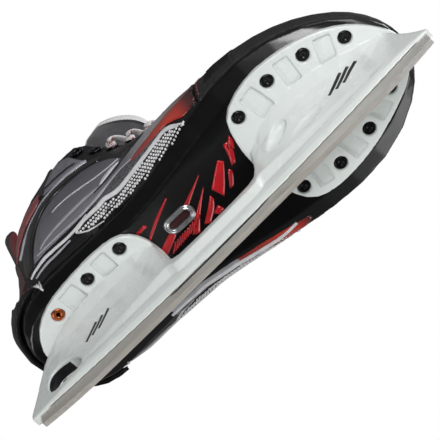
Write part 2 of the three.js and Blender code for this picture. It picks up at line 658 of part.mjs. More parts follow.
function ventGrommet() {
  const flange = prism(slotShape(VENT.length, VENT.width), -GAP - VENT.flange, -GAP, 6);
  const barrel = prism(slotShape(VENT.length - 4, VENT.width - 4), -GAP - 0.5, OUTSOLE_THICKNESS, 6);
  const [length, width] = VENT.slot;
  return onSole(cut(join([flange, barrel]), [prism(slotShape(length, width), -5, 10, 6)]));
}

function ventMesh() {
  const [length, width] = VENT.slot;
  return onSole(prism(slotShape(length - 2 * GAP, width - 2 * GAP), OUTSOLE_THICKNESS - 1.6, OUTSOLE_THICKNESS - 0.6, 6));
}

// ---- tongue ------------------------------------------------------------------------
// Middle line of the tongue's front face, from the toe cap up; the last point is its top edge.
const TONGUE_PATH = [
  [46, 113], [22, 122.5], [-4, 137.5], [-23, 152.5], [-37, 168], [-42, 184.5], [-34, 203], [-24, 221], [-15, 238],
];
const tongueLine = spline(TONGUE_PATH.map(([x, z]) => [x, 0, z]));

function tonguePoint(t, across, depth) {
  const middle = tongueLine.getPoint(t);
  const tangent = tongueLine.getTangent(t);
  const normal = new THREE.Vector3(-tangent.z, 0, tangent.x).multiplyScalar(-1);
  const half = lerp(...TONGUE_HALF, t) * (1 - 0.25 * Math.max(0, t - 0.85) / 0.15 * across * across);
  const sag = lerp(...TONGUE_SAG, THREE.MathUtils.smoothstep(t, 0.45, 1)) * across * across
    + depth * (1 - 0.35 * across * across);
  return [middle.x - normal.x * sag, across * half, middle.z - normal.z * sag];
}

function tongueBody(t0, t1, rows) {
  const columns = 8;
  const layer = (depth) => Array.from({ length: rows + 1 }, (_, i) => (
    Array.from({ length: columns + 1 }, (_, j) => tonguePoint(lerp(t0, t1, i / rows), 2 * j / columns - 1, depth))));
  return shellBody(layer(0), layer(TONGUE_THICKNESS));
}

const TONGUE_HINGE = TONGUE_SPLIT / (TONGUE_PATH.length - 1);
const TONGUE_GAP = 0.008;
const tongueLower = () => tongueBody(0, TONGUE_HINGE - TONGUE_GAP, 8);
const tongueUpper = () => tongueBody(TONGUE_HINGE + TONGUE_GAP, 1, 6);

// ---- tendon guard ------------------------------------------------------------------
const GUARD_PATH = [[-132, 176, 15], [-133.5, 194, 18.5], [-135.5, 214, 19], [-137.5, 234, 15.5], [-139, 250, 8]];

function tendonGuard() {
  const columns = 8;
  const lines = spline(GUARD_PATH.map(([x, z, half]) => [x, half, z]));
  const layer = (depth) => Array.from({ length: 9 }, (_, i) => {
    const { x, y: half, z } = lines.getPoint(i / 8);
    return Array.from({ length: columns + 1 }, (_, j) => {
      const y = half * (2 * j / columns - 1);
      const dish = i === 0 ? 0.02 * y * y : 0;
      return [x + depth + 0.034 * y * y, y, z + dish];
    });
  });
  return shellBody(layer(0), layer(GUARD_THICKNESS));
}

// ---- lace --------------------------------------------------------------------------
const OVER = 4.6;                // lace centre above a facing's outer face
const UNDER = QUARTER_THICKNESS + 2.4;
const EDGE_REACH = 9;            // from an eyelet to just past the facing's edge
const EDGE_LIFT = 10;            // above the line between two eyelets, over the facing's edge
const offSeat = ({ point, normal }, height) => point.clone().addScaledVector(normal, height);

// One strand: out of an eyelet, over the near facing's edge, across the tongue and under
// the far facing. `lift` sets how high it passes where the two strands cross.
function crossing(from, to, lift) {
  const span = to.point.clone().sub(from.point);
  const out = new THREE.Vector3(-span.z, 0, span.x).normalize();
  if (out.z < 0) out.negate();
  const step = span.clone().normalize().multiplyScalar(EDGE_REACH);
  return [
    offSeat(from, -1.2),
    offSeat(from, OVER),
    from.point.clone().add(step).addScaledVector(out, EDGE_LIFT),
    from.point.clone().lerp(to.point, 0.5).addScaledVector(out, lift),
    to.point.clone().sub(step).addScaledVector(out, -5.6),
    offSeat(to, -UNDER),
  ];
}

// The two halves of the lace, from the bottom bar up; they swap sides at every row.
function laceHalf(startSide, lift) {
  const strand = [];
  let side = startSide;
  for (let row = 0; row < LACED_PAIRS; row++) {
    const last = row === LACED_PAIRS - 1;
    strand.push(...crossing(seats[side][row], seats[-side][row + 1], last ? 4.4 + lift : lift));
    side = -side;
  }
  const top = offSeat(seats[side][LACED_PAIRS + 1], -UNDER - 1);
  strand.push(strand[strand.length - 1].clone().lerp(top, 0.35));
  return strand;
}

function laceLine() {
  const first = laceHalf(-1, 2.1);
  const second = laceHalf(1, -2.1);
  const [low, high] = [-1, 1].map((side) => offSeat(seats[side][0], -UNDER));
  const bar = [high, high.clone().lerp(low, 0.3), high.clone().lerp(low, 0.7), low];
  const line = new THREE.CatmullRomCurve3([...second.reverse(), ...bar, ...first], false, 'centripetal');
  // Steps fall evenly between the points, so the tight turns get as many as the long runs.
  line.getPointAt = line.getPoint;
  line.getTangentAt = line.getTangent;
  return line;
}
const laceSteps = () => 2 * (laceLine().points.length - 1);

const laceSection = () => {
  const shape = new THREE.Shape();
  shape.absarc(0, 0, LACE_RADIUS, 0, 2 * Math.PI, false);
  return shape;
};

const lace = () => new THREE.ExtrudeGeometry(laceSection(), {
  extrudePath: laceLine(), steps: laceSteps(), bevelEnabled: false, curveSegments: 3,
});

function aglet(end) {
  const line = laceLine();
  const tip = line.getPointAt(end);
  const out = line.getTangentAt(end).multiplyScalar(end === 0 ? -1 : 1);
  const path = new THREE.LineCurve3(
    tip.clone().addScaledVector(out, GAP), tip.clone().addScaledVector(out, 10));
  return new THREE.ExtrudeGeometry(laceSection(), { extrudePath: path, steps: 1, bevelEnabled: false, curveSegments: 4 });
}

// ---- assembly ----------------------------------------------------------------------
const FINISHES = {
  steel: { color: 0xaaa5a0, roughness: 0.3, metalness: 1 },
  whiteNylon: { color: 0xdce2e0, roughness: 0.25, metalness: 0 },
  blackRivet: { color: 0x0b0b0c, roughness: 0.4, metalness: 0.6 },
  copper: { color: 0xb8623c, roughness: 0.4, metalness: 1 },
  glossBlack: { color: 0x111113, roughness: 0.15, metalness: 0 },
  mattBlack: { color: 0x1d1c1f, roughness: 0.7, metalness: 0 },
  satinBlack: { color: 0x141416, roughness: 0.4, metalness: 0 },
  chrome: { color: 0xcfd3d6, roughness: 0.12, metalness: 1 },
  redMesh: { color: 0x5a0a0e, roughness: 0.8, metalness: 0 },
  greyQuarter: { color: 0x7d7c85, roughness: 0.5, metalness: 0 },
  felt: { color: 0xe9e9ea, roughness: 1, metalness: 0 },
  lining: { color: 0x26262a, roughness: 0.9, metalness: 0 },
  lace: { color: 0xf1eeee, roughness: 0.9, metalness: 0 },
};

const skate = new THREE.Group();

function add(name, geometry, finish) {
  const bare = geometry.index ? geometry : mergeVertices(geometry);
  bare.computeVertexNormals();
  const mesh = new THREE.Mesh(bare, new THREE.MeshStandardMaterial(FINISHES[finish]));
  mesh.name = name;
  skate.add(mesh);
}

const sideName = (side) => (side < 0 ? 'right' : 'left');

add('runner', runner(), 'steel');
add('blade_holder', holder(), 'whiteNylon');
TANG_X.forEach((x) => {
  const place = x > 0 ? 'front' : 'rear';
  add(`${place}_clamp_stud`, clampStud(x), 'steel');
  add(`${place}_washer`, washer(x), 'steel');
  add(`${place}_nut`, nut(x), 'steel');
});
for (const [place, rows, plate] of [['front', FRONT_RIVETS, FRONT_PLATE], ['rear', REAR_RIVETS, REAR_PLATE]]) {
  rows.forEach((row, sideIndex) => row.forEach((centre, i) => {
    const side = sideName(sideIndex ? 1 : -1);
    const copper = place === 'rear' && i === row.length - 1;
    add(`${place}_rivet_${side}_${i + 1}`, rivet(centre, plate), copper ? 'copper' : 'blackRivet');
  }));
}
add('outsole', outsole(), 'glossBlack');
add('vent_grommet', ventGrommet(), 'chrome');
add('vent_mesh', ventMesh(), 'redMesh');
add('footbed', footbed(), 'lining');
add('toe_cap', toeCap(), 'mattBlack');
add('heel_cup', heelCup(), 'satinBlack');
for (const side of [-1, 1]) {
  add(`quarter_${sideName(side)}`, quarter(side), 'greyQuarter');
  add(`liner_${sideName(side)}`, liner(side), 'lining');
  seats[side].forEach((seat, i) => add(`eyelet_${sideName(side)}_${i + 1}`, eyelet(seat), 'chrome'));
}
add('tongue_lower', tongueLower(), 'felt');
add('tongue_upper', tongueUpper(), 'felt');
add('tendon_guard', tendonGuard(), 'satinBlack');
add('lace', lace(), 'lace');
add('aglet_first', aglet(0), 'lace');
add('aglet_second', aglet(1), 'lace');

export default skate;
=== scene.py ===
# %% [markdown]
# # An ice skate, seen from below
#
# The CAD model gives a skate standing on its blade: a steel runner in a white nylon holder,
# riveted to a stiff lace-up boot. This notebook loads that model as a fixed frame and dresses it.
# Each piece is either the CAD node with a real material, or a finer piece built around it.
# Everything is in metres, with +X to the toe, +Y to the inner side of the foot and +Z up.

# %% Load the frame
import math

import bpy
import numpy as np
from mathutils import Matrix, Vector
from mathutils.bvhtree import BVHTree


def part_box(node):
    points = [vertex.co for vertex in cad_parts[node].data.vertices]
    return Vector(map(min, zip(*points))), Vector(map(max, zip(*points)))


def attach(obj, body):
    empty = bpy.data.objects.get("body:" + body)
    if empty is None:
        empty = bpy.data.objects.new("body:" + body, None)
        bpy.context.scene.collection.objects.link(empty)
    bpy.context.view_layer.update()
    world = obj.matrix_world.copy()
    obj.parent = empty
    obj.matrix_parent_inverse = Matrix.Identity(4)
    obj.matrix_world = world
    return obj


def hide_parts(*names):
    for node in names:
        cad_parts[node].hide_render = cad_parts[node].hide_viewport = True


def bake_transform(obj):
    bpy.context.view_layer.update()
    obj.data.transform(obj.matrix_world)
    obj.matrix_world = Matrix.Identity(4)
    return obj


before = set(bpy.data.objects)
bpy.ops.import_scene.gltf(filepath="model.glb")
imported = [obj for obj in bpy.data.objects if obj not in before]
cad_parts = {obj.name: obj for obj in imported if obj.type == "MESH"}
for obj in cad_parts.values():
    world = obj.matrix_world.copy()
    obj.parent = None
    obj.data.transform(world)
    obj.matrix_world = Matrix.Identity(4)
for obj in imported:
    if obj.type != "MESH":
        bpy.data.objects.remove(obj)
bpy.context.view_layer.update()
MM = 0.001
SIDES = ((-1, "right"), (1, "left"))
scene = bpy.context.scene
scene.view_settings.view_transform = "Standard"

# %% [markdown]
# ## Camera
#
# The skate is looked at from underneath, from its outer side, with the toe up and to the right.
# A long lens far away keeps the blade almost free of perspective. The camera is a matrix made
# of its own right, up and back directions, because no simple set of angles holds the skate
# upside down and rolled like this.

# %% Camera
CAMERA_PLACE = Vector((148.5, -411.4, -998.4)) * MM
CAMERA_AIM = Vector((-3.6, 0.1, 39.5)) * MM
CAMERA_UP = Vector((0.6994, -0.6245, 0.3475))
LENS = 174.3

camera = bpy.data.objects.new("camera", bpy.data.cameras.new("camera"))
scene.collection.objects.link(camera)
back = (CAMERA_PLACE - CAMERA_AIM).normalized()
right = CAMERA_UP.cross(back).normalized()
turn = Matrix((right, back.cross(right), back)).transposed()
camera.matrix_world = Matrix.Translation(CAMERA_PLACE) @ turn.to_4x4()
camera.data.lens = LENS
camera.data.sensor_width = 36
camera.data.clip_end = 20
scene.camera = camera
print("camera distance", round((CAMERA_PLACE - CAMERA_AIM).length, 3), "m")

# %% [markdown]
# ## Colours, materials and nodes
#
# Colours are written as the sRGB hex values a painter would pick, and one function turns them
# into the linear numbers that the shader wants. One small function adds a node, with its
# settings and links, so that each material below reads as a short recipe. Textures are built
# from noise and cells in millimetres, so that a grain has its real size on every piece.

# %% Material helpers
def to_linear(hex_colour):
    channels = [int(hex_colour[i:i + 2], 16) / 255 for i in (1, 3, 5)]
    linear = [c / 12.92 if c <= 0.04045 else ((c + 0.055) / 1.055) ** 2.4 for c in channels]
    return (*linear, 1)


def add(mat, kind, inputs=None, **settings):
    new = mat.node_tree.nodes.new("ShaderNode" + kind)
    for name, value in settings.items():
        setattr(new, name, value)
    for name, value in (inputs or {}).items():
        if isinstance(value, bpy.types.NodeSocket):
            mat.node_tree.links.new(value, new.inputs[name])
        else:
            new.inputs[name].default_value = value
    return new


def material(name, colour, roughness, metallic=0.0, **sockets):
    mat = bpy.data.materials.new(name)
    mat.use_nodes = True
    shader = mat.node_tree.nodes["Principled BSDF"]
    shader.inputs["Base Color"].default_value = to_linear(colour)
    shader.inputs["Roughness"].default_value = roughness
    shader.inputs["Metallic"].default_value = metallic
    for socket, value in sockets.items():
        shader.inputs[socket.replace("_", " ").title().replace("Ior", "IOR")].default_value = value
    return mat, shader


def place_coordinates(mat, stretch=(1, 1, 1)):
    """Positions in metres, multiplied along each axis."""
    where = add(mat, "TexCoord").outputs["Object"]
    return add(mat, "VectorMath", {0: where, 1: stretch}, operation="MULTIPLY").outputs["Vector"]


def noise(mat, size_mm, stretch=(1, 1, 1), detail=3.0):
    """Noise whose grains are about size_mm across."""
    return add(mat, "TexNoise", {"Vector": place_coordinates(mat, stretch), "Scale": 1 / (size_mm * MM),
                                 "Detail": detail}).outputs["Fac"]


def ramp(mat, factor, stops, blend="LINEAR"):
    new = add(mat, "ValToRGB", {"Fac": factor})
    new.color_ramp.interpolation = blend
    while len(new.color_ramp.elements) < len(stops):
        new.color_ramp.elements.new(0.5)
    for element, (at, colour) in zip(new.color_ramp.elements, stops):
        element.position = at
        element.color = to_linear(colour) if isinstance(colour, str) else (colour, colour, colour, 1)
    return new.outputs["Color"]


def link(mat, output, shader, socket):
    mat.node_tree.links.new(output, shader.inputs[socket])


def bump(mat, shader, height, depth_mm, strength=1.0):
    new = add(mat, "Bump", {"Height": height, "Strength": strength, "Distance": depth_mm * MM})
    link(mat, new.outputs["Normal"], shader, "Normal")


def uneven_polish(name, colour, low, high, grain_mm, metallic=1.0, **sockets):
    """A material whose roughness wanders between low and high."""
    mat, shader = material(name, colour, low, metallic, **sockets)
    link(mat, ramp(mat, noise(mat, grain_mm), [(0.3, low), (0.7, high)]), shader, "Roughness")
    return mat


def cells(mat, size_mm, randomness=1.0):
    """Distance to the centre of cells about size_mm across, for pebbles, weaves and screens."""
    inputs = {"Vector": place_coordinates(mat), "Scale": 1 / (size_mm * MM), "Randomness": randomness}
    return add(mat, "TexVoronoi", inputs).outputs["Distance"]


def mixed_colour(mat, share, first, second, blend="MIX"):
    return add(mat, "MixRGB", {"Fac": share, "Color1": first, "Color2": second}, blend_type=blend).outputs[0]


print("material helpers ready")

# %% [markdown]
# ## Studio
#
# A white studio needs even light and a few large lamps. A pale floor lies under the
# blade. The camera looks up through it, so the floor's underside is clear, it casts no shadow and
# it shows in no reflection: from above it is an ordinary studio floor. The world is white to the
# camera, soft for diffuse light, and a ring of softboxes with a dark floor in reflections, which
# keeps the glossy blacks black and still gives them an edge of light.

# %% Studio
SOFTBOXES = [(0.0, 0.03), (0.14, 0.03), (0.3, 0.12), (0.42, 0.12), (0.55, 0.1), (0.7, 0.35), (0.85, 0.2),
             (1.0, 0.1)]
FLOOR_HALF = 1.5


def studio_floor():
    mat, shader = material("pale studio paper", "#F1F1EF", 0.9)
    speckle = ramp(mat, noise(mat, 40), [(0.3, "#EEEEEC"), (0.7, "#F4F4F2")])
    link(mat, speckle, shader, "Base Color")
    clear = add(mat, "BsdfTransparent")
    facing = add(mat, "NewGeometry").outputs["Backfacing"]
    mixed = add(mat, "MixShader", {0: facing, 1: shader.outputs["BSDF"], 2: clear.outputs["BSDF"]})
    link(mat, mixed.outputs["Shader"], mat.node_tree.nodes["Material Output"], "Surface")
    mesh = bpy.data.meshes.new("floor")
    corners = [(x * FLOOR_HALF, y * FLOOR_HALF, 0) for x, y in ((-1, -1), (1, -1), (1, 1), (-1, 1))]
    mesh.from_pydata(corners, [], [(0, 1, 2, 3)])
    mesh.materials.append(mat)
    floor = bpy.data.objects.new("floor", mesh)
    scene.collection.objects.link(floor)
    floor.visible_shadow = False
    floor.visible_glossy = False


def lamp(name, place, watts, size):
    light = bpy.data.lights.new(name, "AREA")
    light.energy, light.size = watts, size
    lamp_object = bpy.data.objects.new(name, light)
    lamp_object.location = place
    lamp_object.rotation_euler = (Vector((0, 0, 0.08)) - Vector(place)).to_track_quat("-Z", "Y").to_euler()
    scene.collection.objects.link(lamp_object)


def studio_world(fill):
    """White to the camera, even for soft light, and a ring of softboxes in reflections."""
    world = bpy.data.worlds.new("white booth")
    scene.world = world
    world.use_nodes = True
    direction = add(world, "TexCoord").outputs["Generated"]
    height = add(world, "SeparateXYZ", {0: direction}).outputs["Z"]
    softboxes = ramp(world, add(world, "MapRange", {0: height, 1: -1}).outputs[0], SOFTBOXES)
    path = add(world, "LightPath")
    strength = add(world, "Mix", {"Factor": path.outputs["Is Glossy Ray"], "A": fill, "B": softboxes})
    white = (1, 1, 1, 1)
    light = add(world, "Background", {"Color": white, "Strength": strength.outputs[0]})
    backdrop = add(world, "Background", {"Color": white})
    shown = {0: path.outputs["Is Camera Ray"], 1: light.outputs[0], 2: backdrop.outputs[0]}
    output = world.node_tree.nodes["World Output"]
    link(world, add(world, "MixShader", shown).outputs[0], output, "Surface")


studio_floor()
studio_world(fill=0.2)
lamp("key_below", (0.55, -0.7, -1.1), 11, 0.4)
lamp("fill_below", (-1.1, -0.1, -0.9), 4.2, 0.5)
lamp("front_outer", (1.2, -0.9, 0.25), 4, 0.5)
lamp("rim_inner", (0.3, 1.2, -0.3), 3, 0.6)
lamp("top", (0.6, 0.7, 1.2), 7, 0.8)
print("studio ready")

# %% [markdown]
# ## Building helpers
#
# Moulded and padded pieces start as a copy of their CAD solid. A voxel remesh covers it with an
# even skin, and smoothing rounds the facets away, much as a mould maker breaks every sharp edge.
# A plain bevel would stumble over the many short edges of a solid made by cutting and joining.

# %% Mesh helpers
def ring_faces(rings, sides, first=0):
    """Quads between neighbouring closed rings of points, numbered from first."""
    faces = []
    for i in range(rings - 1):
        for k in range(sides):
            a, b = first + i * sides + k, first + i * sides + (k + 1) % sides
            faces.append((a, b, b + sides, a + sides))
    return faces


def new_piece(name, verts, faces, mat, body="boot", slot=None):
    mesh = bpy.data.meshes.new(name)
    mesh.from_pydata([tuple(v) for v in verts], [], [tuple(f) for f in faces])
    mesh.validate()
    mesh.polygons.foreach_set("use_smooth", [True] * len(mesh.polygons))
    mesh.materials.append(mat)
    piece = bpy.data.objects.new(name, mesh)
    scene.collection.objects.link(piece)
    if body:
        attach(piece, body)
    return piece


def with_modifiers(piece, *modifiers):
    """Adds each (type, settings) modifier, then keeps the result as the piece's own mesh."""
    for kind, settings in modifiers:
        modifier = piece.modifiers.new(kind.lower(), kind)
        for name, value in settings.items():
            setattr(modifier, name, value)
    shown = piece.evaluated_get(bpy.context.evaluated_depsgraph_get())
    mesh = bpy.data.meshes.new_from_object(shown)
    old, piece.data = piece.data, mesh
    piece.modifiers.clear()
    bpy.data.meshes.remove(old)
    mesh.polygons.foreach_set("use_smooth", [True] * len(mesh.polygons))
    return piece


def soft_copy(name, nodes, mat, slot, voxel_mm, passes, body="boot"):
    """The CAD nodes joined, remeshed and smoothed; the piece replaces them."""
    verts, faces = [], []
    for node in nodes:
        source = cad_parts[node].data
        base = len(verts)
        verts += [v.co[:] for v in source.vertices]
        faces += [[base + i for i in p.vertices] for p in source.polygons]
    piece = new_piece(name, verts, faces, mat, None, slot)
    with_modifiers(piece, ("WELD", {"merge_threshold": 1e-6}),
                   ("REMESH", {"mode": "VOXEL", "voxel_size": voxel_mm * MM}),
                   ("SMOOTH", {"factor": 0.5, "iterations": passes}))
    if not piece.data.materials:
        piece.data.materials.append(mat)
    if body:
        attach(piece, body)
    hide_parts(*nodes)
    print(name, len(piece.data.vertices), "vertices")
    return piece


def skin(*pieces):
    """One tree over all the pieces, for casting rays."""
    points, polygons = [], []
    for piece in pieces:
        base = len(points)
        points += [v.co for v in piece.data.vertices]
        polygons += [[base + i for i in p.vertices] for p in piece.data.polygons]
    return BVHTree.FromPolygons(points, polygons)


# %% [markdown]
# ## Drawing on a surface
#
# On the real boot, layers are cut flat, then bonded and sewn over the curved wall. An image
# would be the usual way to show them, but a real layer has an edge that catches the light. So
# each shape is drawn in the side view, or from below for the sole, and dropped on the surface by
# casting rays. Its inside stands a little proud and its border dives in, so that no gap shows.

# %% Finding the surface
def curve(points, count):
    """Smooth line through the points, with count even samples."""
    pts = np.array(points, float)
    ends = np.vstack([2 * pts[0] - pts[1], pts, 2 * pts[-1] - pts[-2]])
    dense = []
    for i in range(len(pts) - 1):
        a, b, c, d = ends[i:i + 4]
        for t in np.linspace(0, 1, 24, endpoint=False):
            dense.append(0.5 * (2 * b + (c - a) * t + (2 * a - 5 * b + 4 * c - d) * t * t
                                + (3 * b - a - 3 * c + d) * t ** 3))
    dense = np.array(dense + [pts[-1]])
    run = np.concatenate([[0], np.cumsum(np.linalg.norm(np.diff(dense, axis=0), axis=1))])
    at = np.linspace(0, run[-1], count)
    return np.stack([np.interp(at, run, dense[:, k]) for k in range(dense.shape[1])], 1)


def length_of(line):
    return np.linalg.norm(np.diff(np.array(line, float), axis=0), axis=1).sum()


def on_wall(tree, side, x, z):
    """Point and outward normal of the boot's side at x and z in millimetres."""
    hit = tree.ray_cast(Vector((x * MM, side * 0.2, z * MM)), Vector((0, -side, 0)), 0.21)
    if hit[0] is None:
        hit = tree.find_nearest(Vector((x * MM, side * 0.04, z * MM)))
    normal = hit[1] if hit[1].y * side > 0 or abs(hit[1].y) < 0.3 else -hit[1]
    return hit[0], normal


def on_even_wall(tree, side, x, z):
    """As on_wall, but averaged over a few millimetres, so that it bridges the sole's seam."""
    reach, steps = 3, (-1, 0, 1)
    near = {(i, j): on_wall(tree, side, x + reach * i, z + reach * j)[0] for i in steps for j in steps}
    middle = sum(near.values(), Vector()) / 9
    normal = (near[1, 0] - near[-1, 0]).cross(near[0, 1] - near[0, -1]).normalized()
    return Vector((x * MM, middle.y, z * MM)), normal if normal.y * side > 0 else -normal


def on_sole(tree, side, x, y):
    """Point and downward normal of the sole at x and y in millimetres."""
    hit = tree.ray_cast(Vector((x * MM, y * MM, -0.1)), Vector((0, 0, 1)))
    if hit[0] is None:
        hit = tree.find_nearest(Vector((x * MM, y * MM, 0.06)))
    return hit[0], hit[1] if hit[1].z < 0 else -hit[1]


print("surface finders ready")


# %% Layers, stitches and turned pieces
def grid_piece(name, find, tree, side, rows, lift_mm, mat, slot):
    """A thin layer over a grid of drawing points, its border sunk into the surface."""
    count_u, count_v = len(rows), len(rows[0])
    verts, faces = [], []
    for i in range(-1, count_u + 1):
        for j in range(-1, count_v + 1):
            a, b = rows[min(max(i, 0), count_u - 1)][min(max(j, 0), count_v - 1)]
            point, normal = find(tree, side, a, b)
            border = i in (-1, count_u) or j in (-1, count_v)
            verts.append(point + normal * (-0.5 if border else lift_mm) * MM)
    wide = count_v + 2
    for i in range(count_u + 1):
        for j in range(wide - 1):
            k = i * wide + j
            faces.append((k, k + 1, k + wide + 1, k + wide))
    return new_piece(name, verts, faces, mat, "boot", slot)


def panel(name, tree, side, low, high, mat, slot, lift_mm=0.5, find=on_wall, step_mm=1.6):
    """A layer between two lines, each drawn from the heel towards the toe."""
    count = max(4, int(max(length_of(low), length_of(high)) / step_mm))
    below, above = curve(low, count), curve(high, count)
    tall = np.linalg.norm(above - below, axis=1).max()
    across = max(3, int(tall / step_mm) + 1)
    rows = [[a + (b - a) * j / (across - 1) for j in range(across)] for a, b in zip(below, above)]
    return grid_piece(name, find, tree, side, rows, lift_mm, mat, slot)


def stripe(name, tree, side, line, widths, mat, slot, lift_mm=0.5, find=on_wall):
    """A layer along one line, as wide as widths says from its start to its end."""
    centre = curve(line, max(6, int(length_of(line) / 1.2)))
    along_line = np.gradient(centre, axis=0)
    along_line /= np.linalg.norm(along_line, axis=1)[:, None]
    across = np.stack([-along_line[:, 1], along_line[:, 0]], 1)
    wide = np.interp(np.linspace(0, 1, len(centre)), np.linspace(0, 1, len(widths)), widths)
    rows = [[c + n * w * (k / 4 - 0.5) for k in range(5)] for c, n, w in zip(centre, across, wide)]
    return grid_piece(name, find, tree, side, rows, lift_mm, mat, slot)


def stitches(name, tree, side, line, mat, slot, pitch_mm=2.6, radius_mm=0.28, find=on_wall):
    """A row of sewn stitches: short threads that dive into the surface at both ends."""
    count = int(length_of(line) / pitch_mm)
    points = curve(line, 4 * count + 1)
    verts, faces = [], []
    for s in range(count):
        base = len(verts)
        for k, (lift, girth) in enumerate([(-0.2, 0.6), (0.25, 1), (0.25, 1), (-0.2, 0.6)]):
            a, b = points[4 * s + k]
            point, normal = find(tree, side, a, b)
            ahead = Vector(find(tree, side, *points[min(4 * s + k + 1, 4 * count)])[0]) - point
            sideways = normal.cross(ahead).normalized()
            for m in range(6):
                turn = m * math.pi / 3
                offset = sideways * math.cos(turn) + normal * math.sin(turn)
                verts.append(point + normal * lift * MM + offset * radius_mm * girth * MM)
        faces += ring_faces(4, 6, base)
        faces.append([base + m for m in range(6)][::-1])
        faces.append([base + 18 + m for m in range(6)])
    return new_piece(name, verts, faces, mat, "boot", slot)


def lathe(profile, sides=32):
    """Vertices and faces of a profile of (radius, height) in millimetres, turned round Z."""
    verts = []
    for radius, height in profile:
        for k in range(sides):
            turn = 2 * math.pi * k / sides
            verts.append(Vector((radius * math.cos(turn), radius * math.sin(turn), height)) * MM)
    return verts, ring_faces(len(profile), sides)


print("helpers ready")

# %% [markdown]
# ## Blade holder
#
# The holder is one injection moulding in glass-filled nylon: cool white, hard and glossy, with a
# broad soft highlight and slightly uneven skin. It is a remeshed copy of its CAD solid, so that
# every edge has a moulded radius. A few slanted bars stand where a maker would print a mark.

# %% Holder
def white_nylon():
    mat, shader = material("white glass-filled nylon", "#E6EBE9", 0.26, IOR=1.53, Coat_Weight=0.2)
    flow = noise(mat, 60, (0.4, 1, 1), 1.0)
    link(mat, ramp(mat, flow, [(0.3, "#E2E8E6"), (0.7, "#E9EDEC")]), shader, "Base Color")
    link(mat, ramp(mat, noise(mat, 12), [(0.3, 0.24), (0.8, 0.3)]), shader, "Roughness")
    bump(mat, shader, noise(mat, 0.6), 0.01, 0.15)
    return mat


# Black pad print for the bars; the same black is painted shade in the tower's window and painted shadow
# under the holder's lip.
def black_print_and_shade():
    mat, shader = material("black pad print and painted shade", "#17171A", 0.35, IOR=1.5)
    link(mat, ramp(mat, noise(mat, 1.5), [(0.35, "#131315"), (0.75, "#222226")]), shader, "Base Color")
    return mat


def print_bars(name, x, z, tall, lean):
    """Three slanted bars on each side of a tower."""
    for side, label in SIDES:
        for k in range(3):
            foot = x + k * BAR_PITCH
            stripe(f"{name}_{label}_{k + 1}", holder_skin, side, [(foot, z), (foot + lean, z + tall)],
                   [BAR_WIDTH, BAR_WIDTH], PRINT_AND_SHADE, "holder_nylon", lift_mm=0.06)


NYLON, PRINT_AND_SHADE = white_nylon(), black_print_and_shade()
holder = soft_copy("holder_moulding", ["blade_holder"], NYLON, "holder_nylon", 0.6, 4)
holder_skin = skin(holder)
WINDOW = [(-128, 24.6), (-119, 23.8), (-110, 23.2), (-107.4, 26), (-108, 31), (-112, 37), (-117, 40.6),
          (-123, 42.4), (-128, 41.6), (-130.8, 37), (-131.2, 29), (-128, 24.6)]
BAR_PITCH, BAR_WIDTH = 5, 2.2


def shade_sleeve_in_window(half_width):
    """A black sleeve through the tower's window: painted shade for the hollow inside that the window shows.
    """
    count = 60
    loop = curve(WINDOW, count)
    verts = [Vector((x, y, z)) * MM for y in (-half_width, half_width) for x, z in loop]
    faces = [(i, i + 1, i + 1 + count, i + count) for i in range(count - 1)]
    return new_piece("window_painted_shade", verts, faces, PRINT_AND_SHADE, "boot", "holder_nylon")


# A black sleeve in the rear tower's window is painted shade for its hollow inside.
shade_sleeve_in_window(3.0)
print_bars("front_bar", 84, 36, 9, 12)
print_bars("rear_bar", -100, 36, 8, 10)

# %% [markdown]
# ## Runner and rivets
#
# The runner is stainless steel, ground along its length and satin polished: the grinding leaves
# fine lines that run with the blade and stretch the highlights. Its edges get a small bevel.
# Rivets are turned: black oxide steel, except the two rearmost, which are bare copper.

# %% Runner
def ground_steel():
    mat, shader = material("ground stainless steel", "#DAD6D1", 0.42, 0.55)
    lines = noise(mat, 0.5, (0.02, 1, 1), 4)
    patches = noise(mat, 25, (0.3, 1, 1))
    tint = ramp(mat, patches, [(0.3, "#CEC8C0"), (0.7, "#E6E3DF")])
    dark = ramp(mat, lines, [(0.35, 0.82), (0.65, 1.0)])
    link(mat, mixed_colour(mat, 0.7, tint, dark, "MULTIPLY"), shader, "Base Color")
    link(mat, ramp(mat, lines, [(0.3, 0.36), (0.7, 0.52)]), shader, "Roughness")
    bump(mat, shader, lines, 0.03, 0.4)
    return mat


def bevelled(name, node, mat, slot, width_mm, body):
    """The CAD node with its sharp edges cut back by width_mm; the piece replaces it."""
    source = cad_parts[node].data
    verts = [v.co for v in source.vertices]
    piece = new_piece(name, verts, [p.vertices for p in source.polygons], mat, None, slot)
    edges = {"width": width_mm * MM, "segments": 2, "angle_limit": math.radians(32)}
    with_modifiers(piece, ("WELD", {"merge_threshold": 1e-6}), ("BEVEL", edges))
    piece.data.polygons.foreach_set("use_smooth", [False] * len(piece.data.polygons))
    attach(piece, body)
    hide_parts(node)
    return piece


STEEL = ground_steel()
bevelled("steel_runner", "runner", STEEL, "runner_steel", 0.25, "runner")


def on_blade(tree, side, x, z):
    return Vector((x, side * 1.5, z)) * MM, Vector((0, side, 0))


# Black strips on both sides of the runner under the holder's lip: painted shadow for the dark gap there.
SHADOW_STRIP_LOW = [(-42, 7.2), (-20, 6.9), (0, 6.9), (20, 7.6)]
SHADOW_STRIP_HIGH = [(-46, 8.8), (-20, 8.4), (0, 8.4), (26, 8.7)]
for side, label in SIDES:
    shadow_strip = panel(f"blade_shadow_strip_{label}", None, side, SHADOW_STRIP_LOW, SHADOW_STRIP_HIGH, PRINT_AND_SHADE, "runner_steel", 0.15,
                 on_blade)
    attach(shadow_strip, "runner")
print("runner with its dark seam under the holder's lip")

# %% [markdown]
# ## Clamp hardware and rivets
#
# Two studs with nuts clamp the runner from inside the towers. They are zinc plated, a finish
# that is never quite even. Rivets are turned on a lathe, so they are built the same way: a
# profile turned round an axis gives the rolled rim and the sunk centre that a cylinder lacks.

